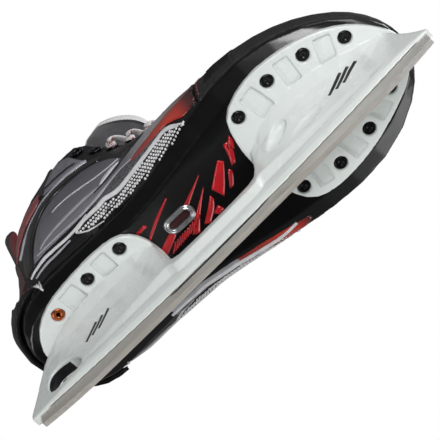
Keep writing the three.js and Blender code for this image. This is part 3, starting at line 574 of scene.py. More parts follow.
# %% Clamp hardware
ZINC = uneven_polish("zinc plated steel", "#B9B9B6", 0.28, 0.5, 1.2)
for end in ("front", "rear"):
    for part in ("washer", "nut"):
        bevelled(f"{end}_{part}_turned", f"{end}_{part}", ZINC, "zinc_steel", 0.2, "boot")
    bevelled(f"{end}_stud_turned", f"{end}_clamp_stud", ZINC, "zinc_steel", 0.2, "runner")
print("clamp pieces", 6)


# %% Rivets
def bare_copper():
    mat, shader = material("bare copper", "#C06A42", 0.33, 1.0)
    link(mat, ramp(mat, noise(mat, 1.5), [(0.3, "#A85532"), (0.7, "#CC7A50")]), shader, "Base Color")
    return mat


def rivet(node, mat, slot, hollow):
    low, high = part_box(node)
    tall = (high.z - low.z) / MM
    middle = [(1.1, 3.0), (1.1, 0.7), (1.5, 0.25)] if hollow else [(0.05, 0.75), (1.0, 0.65), (1.5, 0.3)]
    head = [(2.1, 0.05), (2.9, 0.15), (3.5, 0.5), (3.85, 1.0), (3.85, 1.3), (2.0, 1.32)]
    tail = [(2.0, tall - 0.9), (2.8, tall - 0.8), (2.6, tall - 0.2), (0.05, tall)]
    profile = middle + head + tail
    verts, faces = lathe(profile)
    centre = Vector(((low.x + high.x) / 2, (low.y + high.y) / 2, low.z))
    piece = new_piece(node + "_turned", [v + centre for v in verts], faces, mat, "boot", slot)
    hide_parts(node)


OXIDE = uneven_polish("black oxide steel", "#0C0C0D", 0.24, 0.42, 0.8, 0.4)
COPPER = bare_copper()
for node in [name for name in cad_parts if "_rivet_" in name]:
    is_copper = node.startswith("rear") and node.endswith("_3")
    mat, slot = (COPPER, "rivet_copper") if is_copper else (OXIDE, "rivet_black")
    rivet(node, mat, slot, is_copper)
print("rivets turned")

# %% [markdown]
# ## Outsole
#
# The outsole is a stiff composite plate under a thick clear coat: deep black with long grey
# reflections. Angular red shards and a patch of hatching are printed on it between the towers.
# Each shard is a thin layer dropped on the sole from below. The vent has a chrome grommet.

# %% Outsole
def gloss_composite():
    mat, shader = material("clear-coated composite", "#040405", 0.3, IOR=1.48, Coat_Weight=0.3,
                           Coat_Roughness=0.12)
    smoke = ramp(mat, noise(mat, 18, (0.5, 1.4, 1)), [(0.45, "#030304"), (0.8, "#0B0B0D")])
    link(mat, smoke, shader, "Base Color")
    bump(mat, shader, noise(mat, 6), 0.1, 0.3)
    return mat


def red_print():
    mat, shader = material("red pad print", "#C4121E", 0.3, IOR=1.5, Coat_Weight=0.6, Coat_Roughness=0.08)
    mottle = ramp(mat, noise(mat, 14, (0.6, 1.5, 1)), [(0.35, "#A80F1A"), (0.65, "#CC1420")])
    link(mat, mottle, shader, "Base Color")
    return mat


COMPOSITE, RED_PRINT = gloss_composite(), red_print()
outsole = soft_copy("sole_plate", ["outsole"], COMPOSITE, "outsole_composite", 0.9, 4)
sole_skin = skin(outsole)

# %% Sole print
SHARDS = [
    ([(-42, 0), (-30, -4.6), (-29, -4.6)], [(-42, 5), (-30, -0.5), (-29, -3)]),
    ([(-24, 6), (-14, -1.5), (0, -10.4)], [(-20, 8), (-12, -0.2), (0, -10)]),
    ([(-17, -9.5), (-6, -13.6), (3, -17.2)], [(-14, -7.6), (-6, -12), (3, -16.8)]),
    ([(-43, -9), (-32, -15), (-19, -20.3)], [(-42, -8), (-31, -13.6), (-18, -19.8)]),
    ([(-45, -17), (-38, -17.6)], [(-44, -15), (-37, -15.6)]),
    ([(-15, 6), (-7, 0.5), (-1, -4.2)], [(-12, 8), (-5, 3.4), (-1, -1)]),
    ([(-7, 5), (-2, 3)], [(-5, 8), (-1, 7)]),
    ([(2, -6), (8, -10.5), (16, -16)], [(4, 2), (10, -4), (18, -13)]),
    ([(9, 1), (14, -5.5), (16, -8)], [(12, 1), (17, -5), (17, -7.4)]),
    ([(19, -8), (22, -14), (24, -20)], [(22, -8), (26, -14), (27, -20)]),
    ([(24, -17), (30, -22)], [(27, -14), (30, -18)]),
    ([(23, 6), (27, 2)], [(25, 7), (27, 6)]),
]
for k, (low, high) in enumerate(SHARDS):
    panel(f"sole_shard_{k + 1}", sole_skin, 0, low, high, RED_PRINT, "outsole_composite", 0.08, on_sole)
for k in range(11):
    x, y = -39 + 2.1 * k, 6.5 - 0.25 * k
    stripe(f"sole_hatch_{k + 1}", sole_skin, 0, [(x, y), (x + 6, y - 4.3)], [0.9, 0.6], RED_PRINT,
           "outsole_composite", 0.08, on_sole)
print("printed shapes", len(SHARDS) + 11)

# %% [markdown]
# ## Vent
#
# Melted snow leaves the boot through a slot in the sole. A rolled chrome grommet lines it and a
# woven screen keeps grit out. The grommet is one profile swept round the slot's outline, because
# its double rim is what catches the light, and the screen is woven from separate wires.

# %% Vent
VENT_LOW, VENT_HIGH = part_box("vent_grommet")
VENT_LENGTH, VENT_TALL = 20, 4.7
VENT_TILT = ((VENT_HIGH.z - VENT_LOW.z) / MM - VENT_TALL) / VENT_LENGTH


def red_screen():
    mat, shader = material("dark red nylon screen", "#3A0A0E", 0.6)
    link(mat, ramp(mat, noise(mat, 0.7), [(0.3, "#22070A"), (0.7, "#4A0E13")]), shader, "Base Color")
    return mat


def vent_ring():
    """A rolled double ring round the vent's slot, tilted with the sole."""
    middle = (VENT_LOW + VENT_HIGH) / 2
    profile = [(2.45, 2.6), (2.45, -0.8), (2.75, -1.3), (3.3, -1.35), (3.7, -0.8), (3.95, -0.75),
               (4.3, -1.25), (4.9, -1.2), (5.3, -0.7), (5.45, 0.1)]
    middle = Vector((middle.x, middle.y, VENT_LOW.z))
    flange, half_straight, steps = 1.3, 4.6, 48
    verts = []
    for radius, height in profile:
        for k in range(steps):
            turn = 2 * math.pi * (k + 0.5) / steps
            x = radius * math.cos(turn) + math.copysign(half_straight, math.cos(turn))
            z = height + flange + VENT_TILT * (VENT_LENGTH / 2 - x)
            verts.append(middle + Vector((x, radius * math.sin(turn), z)) * MM)
    ring = new_piece("vent_ring", verts, ring_faces(len(profile), steps), CHROME, "boot", "vent_chrome")
    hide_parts("vent_grommet")


def vent_wires():
    """Woven wires across the vent, on a dark backing."""
    low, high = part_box("vent_mesh")
    middle = (low + high) / 2
    half_x, half_y, wire = 7.0, 2.2, 0.22
    up = Vector((0, 0, 1))
    lines = [((x, -half_y, -VENT_TILT * x), (x, half_y, -VENT_TILT * x)) for x in range(-7, 8)]
    lines += [((-half_x, y, VENT_TILT * half_x), (half_x, y, -VENT_TILT * half_x)) for y in range(-2, 3)]
    verts, faces = [], []
    for start, end in lines:
        across = (Vector(end) - Vector(start)).normalized().cross(up)
        faces += ring_faces(2, 6, len(verts))
        for place in (start, end):
            for m in range(6):
                turn = m * math.pi / 3
                offset = (across * math.cos(turn) + up * math.sin(turn)) * wire
                verts.append(middle + (Vector(place) + offset) * MM)
    new_piece("vent_wires", verts, faces, SCREEN, "boot", "vent_screen")


CHROME = uneven_polish("chrome plated brass", "#E4E6E8", 0.26, 0.34, 3)
SCREEN = red_screen()
vent_ring()
vent_wires()
print("vent tilt", round(VENT_TILT, 3))
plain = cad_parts["vent_mesh"]
plain.data.materials.clear()
plain.data.materials.append(SCREEN)

# %% [markdown]
# ## Toe cap and heel cup
#
# The toe cap is moulded plastic under a coarse pebbled skin, so it looks dull and sooty next to
# the glossy sole. The heel cup is the same plastic with a smooth satin surface. Red thread
# runs along the edges where they meet the boot walls.

# %% Toe cap and heel cup
def pebbled_plastic():
    mat, shader = material("pebbled polyurethane", "#222124", 0.62, IOR=1.48)
    grain = cells(mat, 0.9)
    link(mat, ramp(mat, noise(mat, 2), [(0.3, "#19181A"), (0.75, "#2C2B2E")]), shader, "Base Color")
    bump(mat, shader, grain, 0.35, 0.7)
    return mat


def satin_plastic():
    mat, shader = material("satin polyurethane", "#0A0A0B", 0.45, IOR=1.42)
    link(mat, ramp(mat, noise(mat, 12), [(0.3, 0.34), (0.7, 0.5)]), shader, "Roughness")
    bump(mat, shader, noise(mat, 1.0), 0.06, 0.5)
    return mat


def red_thread():
    mat, shader = material("red polyester thread", "#8E2A2E", 0.55, Sheen_Weight=0.3)
    link(mat, ramp(mat, noise(mat, 0.6), [(0.3, "#6E1D22"), (0.7, "#A8363B")]), shader, "Base Color")
    return mat


PEBBLED, SATIN, THREAD = pebbled_plastic(), satin_plastic(), red_thread()
toe_cap = soft_copy("toe_shell", ["toe_cap"], PEBBLED, "toe_cap_plastic", 0.9, 8)
heel_cup = soft_copy("heel_shell", ["heel_cup"], SATIN, "heel_cup_plastic", 0.7, 6)
toe_skin, heel_skin = skin(toe_cap), skin(heel_cup)
TOE_SEAM = [(34, 72), (37, 84), (41, 98), (44, 108), (46, 116)]
HEEL_SEAM = [(-104, 80), (-106, 90), (-109, 102), (-112, 114)]
for side, label in SIDES:
    stitches(f"toe_stitch_{label}", toe_skin, side, TOE_SEAM, THREAD, "toe_cap_plastic")
    stitches(f"heel_stitch_{label}", heel_skin, side, HEEL_SEAM, THREAD, "heel_cup_plastic")
    for k in range(6):
        rib = [(40 + 1.5 * k, 76 + 2.6 * k), (50 + k, 75.5 + 2.6 * k), (60 + 0.5 * k, 74.5 + 2.4 * k)]
        stripe(f"toe_rib_{label}_{k + 1}", toe_skin, side, rib, [0.8, 1.6, 0.8], SATIN, "toe_cap_plastic",
               0.5)
print("seams stitched")

# %% [markdown]
# ## Boot walls
#
# Each wall is a stiff composite sheet under synthetic leather. Layers are bonded over it: a big
# silver-grey ankle panel with a fine printed screen and tapering white veins, a honeycomb of
# white dots low on the side, a red panel towards the toe, and black, silver and dusty red strips
# around the ankle. They are drawn once in the side view and dropped on both walls.

# %% Wall materials
def black_leather():
    mat, shader = material("black synthetic leather", "#0E0D0F", 0.42, IOR=1.4)
    grain = cells(mat, 1.1)
    link(mat, ramp(mat, noise(mat, 8), [(0.3, "#0A0A0B"), (0.75, "#151416")]), shader, "Base Color")
    bump(mat, shader, grain, 0.15, 0.4)
    return mat


def silver_composite():
    mat, shader = material("silver-grey laminate", "#6C6B73", 0.42, 0.1, IOR=1.45, Coat_Weight=0.1)
    where = add(mat, "SeparateXYZ", {0: place_coordinates(mat)})
    height = add(mat, "MapRange", {0: where.outputs["Z"], 1: 0.09, 2: 0.165}).outputs[0]
    tone = ramp(mat, height, [(0.0, "#85848C"), (0.25, "#7A7981"), (0.55, "#6A6971"), (1.0, "#5C5B63")])
    screen = cells(mat, 1.7, 0.0)
    dots = ramp(mat, screen, [(0.25, 0.5), (0.5, 1.0)])
    zone = add(mat, "MapRange", {0: noise(mat, 26), 1: 0.45, 2: 0.6}).outputs[0]
    link(mat, mixed_colour(mat, zone, tone, dots, "MULTIPLY"), shader, "Base Color")
    bump(mat, shader, screen, 0.12, 0.35)
    return mat


def fading_laminate(name, stops, roughness):
    """A printed sheet whose colour changes from the heel side to the toe side."""
    mat, shader = material(name, stops[0][1], roughness, IOR=1.5, Coat_Weight=0.4)
    where = add(mat, "SeparateXYZ", {0: place_coordinates(mat)})
    share = add(mat, "MapRange", {0: where.outputs["X"], 1: -0.025, 2: 0.036}).outputs[0]
    link(mat, ramp(mat, share, stops), shader, "Base Color")
    bump(mat, shader, noise(mat, 1.5), 0.08, 0.4)
    return mat


def speckled_grey():
    mat, shader = material("speckled charcoal laminate", "#4A4A4D", 0.5, IOR=1.5)
    grit = ramp(mat, noise(mat, 0.9), [(0.4, "#3A3A3C"), (0.62, "#6B6B6E")])
    link(mat, grit, shader, "Base Color")
    bump(mat, shader, noise(mat, 0.9), 0.1, 0.5)
    return mat


def flat_film(name, dark, light, roughness, grain_mm=5.0):
    mat, shader = material(name, light, roughness, IOR=1.5, Coat_Weight=0.2)
    link(mat, ramp(mat, noise(mat, grain_mm), [(0.3, dark), (0.7, light)]), shader, "Base Color")
    bump(mat, shader, noise(mat, 0.8), 0.04, 0.3)
    return mat


LEATHER, SILVER, SPECKLED = black_leather(), silver_composite(), speckled_grey()
RED_FADE = [(0.0, "#8A3A38"), (0.3, "#A63A34"), (0.6, "#C23C2A"), (0.72, "#B03024"), (0.84, "#541A18"),
            (0.95, "#141012")]
PEARL_FADE = [(0.0, "#77767D"), (0.2, "#A2A2A8"), (0.45, "#C2BEC2"), (0.65, "#B0989B"), (0.8, "#80595B"),
              (0.97, "#241A1C")]
RED = fading_laminate("red laminate", RED_FADE, 0.35)
PEARL = fading_laminate("pearl laminate", PEARL_FADE, 0.32)
WHITE_FILM = flat_film("white polyurethane film", "#CFCFD4", "#E9E9EC", 0.35)
DOT_FILM = flat_film("pearl polyurethane dots", "#CFCFD2", "#F0F0F1", 0.3, 0.9)
PALE_FILM = flat_film("pale silver film", "#A2A2A8", "#B6B6BC", 0.38)
SILVER_FILM = flat_film("silver piping", "#9A99A3", "#B9B8C1", 0.35)
DUSTY_RED = flat_film("dusty red leather", "#7E3438", "#A9595C", 0.45)
DARK_RED = flat_film("dark red leather", "#3A1517", "#5A2023", 0.5)
BLACK_FILM = flat_film("black polyurethane film", "#0D0D0F", "#18181B", 0.4)
GREY_LEATHER = flat_film("grey synthetic leather", "#6E6D76", "#7F7E87", 0.5)
print("wall materials ready")

# %% [markdown]
# ## Wall layers
#
# Every layer below is two lines in the side view, or one line with widths, in millimetres. The
# two walls share them, since the inner side of such a boot repeats the outer one. Drawing them
# as layers keeps the overlaps of the real boot: piping over leather, veins over the ankle panel.

# %% Walls
walls = {}
for side, label in SIDES:
    walls[side] = soft_copy(f"wall_{label}", [f"quarter_{label}"], LEATHER, "quarter_composite", 0.9, 6)
wall_skins = {side: skin(piece, outsole) for side, piece in walls.items()}

# %% Panels
PANELS = [
    # name, lower line, upper line, material, lift in mm
    ("ankle", [(-100, 96), (-85, 93), (-62, 91), (-45, 93), (-30, 95), (-22, 97)],
     [(-98, 103), (-94, 122), (-87, 139), (-76, 150), (-58, 153.5), (-46, 153), (-36, 139), (-28, 120)],
     SILVER, 0.5),
    ("forefoot",
     [(-40, 95.5), (-28, 95), (-18, 92.5), (-8, 92), (4, 91.5), (14, 89.5), (24, 85.5), (34, 80)],
     [(-36, 98), (-28, 103), (-20, 111), (-10, 119), (0, 127), (12, 123), (24, 117), (37, 108)], PEARL, 0.5),
    ("speckled", [(-54, 86.5), (-40, 85.5), (-30, 84), (-10, 82.5), (2, 81.5), (8, 80)],
     [(-54, 88), (-40, 92), (-28, 94), (-18, 91), (-12, 86.5), (8, 81)], SPECKLED, 0.6),
    ("honeycomb", [(-67, 83.5), (-60, 80), (-50, 77.5), (-30, 74), (-10, 71), (4, 69), (14, 67.8)],
     [(-67, 85), (-60, 84.5), (-50, 84), (-42, 83.5), (-36, 81.5), (-18, 80.5), (-2, 79), (6, 77.5),
      (11, 73.5), (16, 69)], BLACK_FILM, 0.9),
    ("red", [(-21, 90.5), (-13, 86), (0, 83.5), (8, 81.5), (14, 77.5), (20, 72.5), (30, 70)],
     [(-21, 91.8), (-10, 92.5), (0, 92), (10, 90.5), (20, 86.5), (28, 82), (35, 78)], RED, 0.7),
    ("collar_red", [(-118, 147), (-110, 153), (-100, 160), (-90, 166), (-86, 172)],
     [(-117, 162), (-112, 173), (-104, 178), (-94, 182), (-86, 183)], DUSTY_RED, 0.6),
    ("collar_grey", [(-82, 172), (-70, 173), (-58, 174), (-52, 175)],
     [(-80, 190), (-74, 201), (-66, 203), (-61, 200)], GREY_LEATHER, 0.6),
    ("heel_strip", [(-121, 98), (-121, 125), (-120, 150), (-119, 168)],
     [(-111, 98), (-113, 118), (-115, 130), (-118, 147)], DARK_RED, 0.4),
]

# %% Stripes
STRIPES = [
    # name, line, widths in mm, material, lift in mm
    ("honeycomb_edge",
     [(-69, 85), (-62, 86.8), (-50, 86), (-45, 86.3), (-40, 84.5), (-34, 83), (-18, 82), (-2, 80.5), (6, 79),
      (11, 75.5), (15, 71), (18, 68)], [1.2, 2.2, 2.4, 2.6, 2.4, 2.2], WHITE_FILM, 0.9),
    ("honeycomb_rear", [(-68, 84.5), (-62, 80.5), (-52, 77.8)], [1.0, 0.8, 0.4], WHITE_FILM, 0.8),
    ("vein_top", [(-78, 129), (-73, 130.5), (-64, 129), (-54, 125), (-44, 121), (-34, 118.5), (-28, 118)],
     [0.5, 1.5, 1.7, 1.5, 1.2, 0.8], WHITE_FILM, 0.8),
    ("vein_wide", [(-92, 99.5), (-85, 103), (-74, 104.5), (-60, 104.5), (-48, 102.5), (-43, 100)],
     [0.6, 3.5, 4.6, 4.6, 4.0, 2.0], PALE_FILM, 0.8),
    ("vein_low",
     [(-96, 98), (-90, 96), (-75, 93.5), (-60, 91.6), (-45, 92.6), (-35, 94), (-27, 94), (-19, 91)],
     [0.5, 1.4, 1.6, 1.4, 1.6, 1.8, 1.4, 0.6], PALE_FILM, 0.9),
    ("vein_foot", [(-106, 90.5), (-95, 90), (-85, 88.5), (-72, 87), (-58, 88)], [0.8, 1.8, 1.4, 1.2, 0.5],
     WHITE_FILM, 0.8),
    ("vein_sole", [(-103, 86), (-95, 86), (-86, 85), (-74, 84.6)], [0.4, 1.0, 0.9, 0.4], PALE_FILM, 0.8),
    ("vein_flick", [(-43, 102), (-38, 107), (-32, 110), (-28, 109)], [1.5, 5, 5.5, 1.5], WHITE_FILM, 1.0),
    ("ankle_notch", [(-22, 119), (-23.5, 111), (-29, 104), (-38, 100), (-48, 98.5)], [5, 4, 3, 2, 0.6],
     BLACK_FILM, 0.9),
    ("ankle_edge",
     [(-104, 94), (-104, 112), (-101, 127), (-94, 143), (-84, 154), (-70, 159.5), (-54, 160), (-42, 158)],
     [8, 9, 10, 10, 9, 8, 9, 8], BLACK_FILM, 1.0),
    ("piping_silver",
     [(-112, 134), (-104, 141), (-95, 150), (-87, 158), (-78, 164.5), (-64, 168.5), (-50, 170.5)],
     [1, 2.4, 2.6, 2.6, 3, 4, 3], SILVER_FILM, 1.1),
    ("welt_rear", [(-112, 80.2), (-90, 78.9), (-70, 77.6), (-52, 76.4)], [2.6, 2.6, 2.2], BLACK_FILM, 0.6),
    ("welt_front", [(14, 70.4), (24, 69.5), (34, 68.8)], [2.4, 2.4], BLACK_FILM, 0.6),
    ("heel_accent", [(-107, 84), (-104.5, 80.5), (-103, 76)], [0.6, 1.8, 0.8], WHITE_FILM, 1.0),
    ("collar_strap", [(-84, 172), (-82, 184), (-77, 196), (-74, 203)], [3, 3, 2.6], BLACK_FILM, 1.2),
    ("collar_line", [(-80, 179), (-68, 179.6), (-57, 179)], [2.0, 2.2, 1.6], BLACK_FILM, 1.1),
]
for side, label in SIDES:
    for name, low, high, mat, lift in PANELS:
        finder = on_even_wall if name == "honeycomb" else on_wall
        panel(f"{name}_{label}", wall_skins[side], side, low, high, mat, "quarter_composite", lift, finder)
    for name, line, widths, mat, lift in STRIPES:
        stripe(f"{name}_{label}", wall_skins[side], side, line, widths, mat, "quarter_composite", lift)
print("layers per wall", len(PANELS) + len(STRIPES))

# %% [markdown]
# ## Inner edge of the sole
#
# On the inner side the wall's colours reach down over the edge of the sole, where they show from
# below: silver at the arch, then red that fades towards the toe, with a white line over both.

# %% Inner edge of the sole
SOLE_EDGE = [
    # name, lower line, upper line, material
    ("silver", [(-64, 71.4), (-40, 69.6), (-16, 67.8)], [(-64, 75), (-40, 74.2), (-16, 72.6)], PALE_FILM),
    ("red", [(-17, 67.8), (0, 66.2), (14, 65), (28, 64.4)], [(-17, 72.6), (0, 71), (14, 69.4), (28, 65.4)],
     RED),
]
for name, low, high, mat in SOLE_EDGE:
    panel(f"sole_edge_{name}_left", wall_skins[1], 1, low, high, mat, "quarter_composite", 0.3)
EDGE_LINE = [(-66, 73), (-40, 71.5), (-17, 69.6), (4, 67.6), (20, 64.6)]
stripe("sole_edge_line_left", wall_skins[1], 1, EDGE_LINE, [0.8, 1.4, 1.4, 0.6], WHITE_FILM,
       "quarter_composite", 0.6)
print("sole edge layers", len(SOLE_EDGE) + 1)

# %% [markdown]
# ## Honeycomb
#
# The low panel is printed with raised pearl dots in a hexagonal pattern. A bump map would stay
# flat against the light at this size, so each dot is a small dome, and all domes of a side are one
# mesh. The surface under them is averaged, so that the rows stay straight over the sole's seam.

# %% Honeycomb dots
DOT_PITCH = 2.05
DOT_RINGS = [(0.86, -0.1), (0.8, 0.3), (0.45, 0.5)]
DOT_TOP = 0.54


def honeycomb(label, side):
    """Low domes in a hexagonal pattern between the panel's two lines."""
    _, low, high, _, lift = next(row for row in PANELS if row[0] == "honeycomb")
    below, above = curve(low, 200), curve(high, 200)
    verts, faces = [], []
    for row, column in [(row, column) for row in range(11) for column in range(42)]:
        x = -67 + column * DOT_PITCH + (DOT_PITCH / 2 if row % 2 else 0)
        z = 67.5 + row * DOT_PITCH * 0.86
        floor_z, ceiling = np.interp(x, below[:, 0], below[:, 1]), np.interp(x, above[:, 0], above[:, 1])
        if not floor_z + 0.4 < z < ceiling - 0.4 or x > 15:
            continue
        point, normal = on_even_wall(wall_skins[side], side, x, z)
        east = (Vector((1, 0, 0)) - normal * normal.x).normalized()
        north = normal.cross(east)
        base = len(verts)
        for radius, rise in DOT_RINGS:
            for m in range(6):
                turn = m * math.pi / 3
                offset = east * math.cos(turn) + north * math.sin(turn)
                verts.append(point + (offset * radius + normal * (lift + rise)) * MM)
        verts.append(point + normal * (lift + DOT_TOP) * MM)
        faces += ring_faces(3, 6, base)
        faces += [(base + 12 + m, base + 12 + (m + 1) % 6, base + 18) for m in range(6)]
    new_piece(f"honeycomb_dots_{label}", verts, faces, DOT_FILM, "boot", "quarter_composite")
    return len(verts) // 19


print("dots", honeycomb("right", -1), honeycomb("left", 1))

# %% [markdown]
# ## Lining and footbed
#
# The boot is lined with brushed microfibre over foam, thickest at the collar. It has no gloss, a
# faint nap, and a soft sheen at grazing angles. The footbed is a thin foam sheet under fabric.

# %% Lining
def brushed_microfibre():
    mat, shader = material("brushed microfibre", "#2E2C31", 0.9, Sheen_Weight=0.5, Sheen_Roughness=0.4)
    link(mat, ramp(mat, noise(mat, 1.4), [(0.3, "#242227"), (0.7, "#3A383E")]), shader, "Base Color")
    bump(mat, shader, noise(mat, 0.8), 0.2, 0.6)
    return mat


def footbed_fabric():
    mat, shader = material("footbed knit", "#3A3A40", 0.85, Sheen_Weight=0.3)
    waves = {"Vector": place_coordinates(mat), "Scale": 1 / (12 * MM), "Distortion": 1.0}
    rows = add(mat, "TexWave", waves).outputs["Fac"]
    link(mat, ramp(mat, rows, [(0.3, "#2C2C31"), (0.7, "#47474E")]), shader, "Base Color")
    bump(mat, shader, rows, 0.2, 0.5)
    return mat


MICROFIBRE, KNIT = brushed_microfibre(), footbed_fabric()
for label in ("right", "left"):
    padding = soft_copy(f"padding_{label}", [f"liner_{label}"], MICROFIBRE, "liner_fabric", 1.1, 8)
bed = soft_copy("knit_footbed", ["footbed"], KNIT, "footbed_foam", 1.2, 4)

# %% [markdown]
# ## Eyelets and lace
#
# Eyelets are rolled gunmetal rings. Their seats are read from the CAD nodes: the short axis of
# each ring's points is its direction. The lace is flat, woven of white waxed cotton with red
# flecks, so it is a ribbon swept along the route that the CAD lace takes, twisted so that it
# lies flat on the facings.

# %% Eyelets
EYELET_PAIRS = 8
LACED_PAIRS = 6
WALL = 3.0


def eyelet_seat(side, row):
    """Centre of the eyelet on the facing's outer face, and the direction it points in."""
    label = "right" if side < 0 else "left"
    points = np.array([v.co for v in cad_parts[f"eyelet_{label}_{row + 1}"].data.vertices]) / MM
    middle = points.mean(0)
    normal = np.linalg.svd(points - middle)[2][2]
    outward = normal if normal[1] * side + normal[2] > 0 else -normal
    reach = (points - middle) @ outward
    return middle + outward * (reach.max() - 1.3), outward


SEATS = {(side, row): eyelet_seat(side, row) for side in (-1, 1) for row in range(EYELET_PAIRS)}


GUNMETAL = uneven_polish("gunmetal plated brass", "#3B3B40", 0.22, 0.42, 0.8)
EYELET_PROFILE = [(2.7, -3.0), (3.3, -3.0), (3.3, 0.4), (4.5, 0.45), (4.55, 0.8), (4.1, 1.25), (3.2, 1.4),
                  (2.75, 1.1), (2.7, 0.6), (2.7, -3.0)]
for (side, row), (place, outward) in SEATS.items():
    label = "right" if side < 0 else "left"
    verts, faces = lathe(EYELET_PROFILE, 24)
    turn = Vector((0, 0, 1)).rotation_difference(Vector(outward))
    centre = Vector(place) * MM
    placed = [turn @ v + centre for v in verts]
    ring = new_piece(f"eyelet_ring_{label}_{row + 1}", placed, faces, GUNMETAL, "boot", "eyelet_metal")
    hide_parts(f"eyelet_{label}_{row + 1}")
print("eyelets", len(SEATS))


# %% [markdown]
# ## Lace
#
# A curve with a bevel would make a round cord, and this lace is flat. So its route is worked out
# first: out of one eyelet, over the facing, across the tongue and under the other facing, row by
# row. Then an oval section is swept along it, kept level so that the lace lies flat.

# %% Lace route
def crossing(start, end, lift):
    """Out of one eyelet, over the facing's edge, across the tongue and under the far facing."""
    (a, normal_a), (b, normal_b) = start, end
    span = b - a
    out = np.array([-span[2], 0, span[0]])
    out *= (1 if out[2] > 0 else -1) / np.linalg.norm(out)
    step = span / np.linalg.norm(span) * 9
    return [a - 1.2 * normal_a, a + 5.6 * normal_a, a + step + 12 * out, (a + b) / 2 + lift * out,
            b - step - 5.6 * out, b - (WALL + 2.4) * normal_b]


def lace_half(first_side, lift):
    strand, side = [], first_side
    for row in range(LACED_PAIRS):
        last = row == LACED_PAIRS - 1
        strand += crossing(SEATS[side, row], SEATS[-side, row + 1], 4.4 + lift if last else lift)
        side = -side
    place, outward = SEATS[side, LACED_PAIRS + 1]
    strand.append(strand[-1] + (place - outward * (WALL + 3.4) - strand[-1]) * 0.35)
    return strand


def lace_route():
    first, second = lace_half(-1, 2.1), lace_half(1, -2.1)
    low, high = [SEATS[side, 0][0] - (WALL + 2.4) * SEATS[side, 0][1] for side in (-1, 1)]
    bar = [high, high + (low - high) * 0.3, high + (low - high) * 0.7, low]
    return np.array(second[::-1] + bar + first)


def centripetal(points, steps):
    """Catmull-Rom line that slows at close points, so that it never loops."""
    ends = np.vstack([2 * points[0] - points[1], points, 2 * points[-1] - points[-2]])
    line = []
    for i in range(len(points) - 1):
        p = ends[i:i + 4]
        gaps = np.maximum(np.linalg.norm(np.diff(p, axis=0), axis=1), 1e-4)
        t = np.concatenate([[0], np.cumsum(np.sqrt(gaps))])
        for x in np.linspace(t[1], t[2], steps, endpoint=False):
            a = [((t[k + 1] - x) * p[k] + (x - t[k]) * p[k + 1]) / (t[k + 1] - t[k]) for k in range(3)]
            b = [((t[k + 2] - x) * a[k] + (x - t[k]) * a[k + 1]) / (t[k + 2] - t[k]) for k in range(2)]
            line.append(((t[2] - x) * b[0] + (x - t[1]) * b[1]) / (t[2] - t[1]))
    return np.array(line + [points[-1]])


lace_line = centripetal(lace_route(), 10)
print("lace route", round(float(np.linalg.norm(np.diff(lace_line, axis=0), axis=1).sum())), "mm")


# %% Lace ribbon
def woven_lace():
    mat, shader = material("woven waxed cotton", "#E6E2E2", 0.6, Sheen_Weight=0.3)
    flecks = noise(mat, 3.2, detail=1.0)
    stops = [(0.0, "#EDEAEA"), (0.6, "#E6E2E2"), (0.63, "#A8343A"), (0.66, "#8F2B31"), (0.68, "#E6E2E2")]
    link(mat, ramp(mat, flecks, stops), shader, "Base Color")
    bump(mat, shader, cells(mat, 0.9, 0.4), 0.25, 0.7)
    return mat


def ribbon(name, line, half_width, half_thickness, mat, slot):
    """A flat lace: an oval section swept along the line, its flat side kept outwards."""
    ahead = np.gradient(line, axis=0)
    ahead /= np.linalg.norm(ahead, axis=1)[:, None]
    out = np.stack([line[:, 0] * 0 + 0.55, line[:, 1] * 0.035, line[:, 0] * 0 + 0.8], 1)
    wide = np.cross(ahead, out)
    for _ in range(12):
        wide[1:-1] = (wide[:-2] + 2 * wide[1:-1] + wide[2:]) / 4
    wide -= ahead * (wide * ahead).sum(1)[:, None]
    wide /= np.linalg.norm(wide, axis=1)[:, None]
    thick = np.cross(wide, ahead)
    verts, sides = [], 10
    for centre, w, t in zip(line, wide, thick):
        for m in range(sides):
            turn = 2 * math.pi * m / sides
            rise = math.copysign(abs(math.sin(turn)) ** 0.7, math.sin(turn))
            verts.append((centre + w * math.cos(turn) * half_width + t * rise * half_thickness) * MM)
    faces = ring_faces(len(line), sides)
    faces.append(list(range(sides))[::-1])
    faces.append([len(verts) - sides + m for m in range(sides)])
    return new_piece(name, verts, faces, mat, "boot", slot)


LACE = woven_lace()
lace = ribbon("flat_lace", lace_line, 3.1, 0.95, LACE, "lace_cotton")
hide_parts("lace")
TIP = uneven_polish("clear acetate tip", "#D9D9DC", 0.15, 0.3, 1.5, 0.0, IOR=1.47, Coat_Weight=0.3)
for which in ("first", "second"):
    bevelled(f"lace_tip_{which}", f"aglet_{which}", TIP, "aglet_plastic", 0.25, "boot")
print("lace swept")
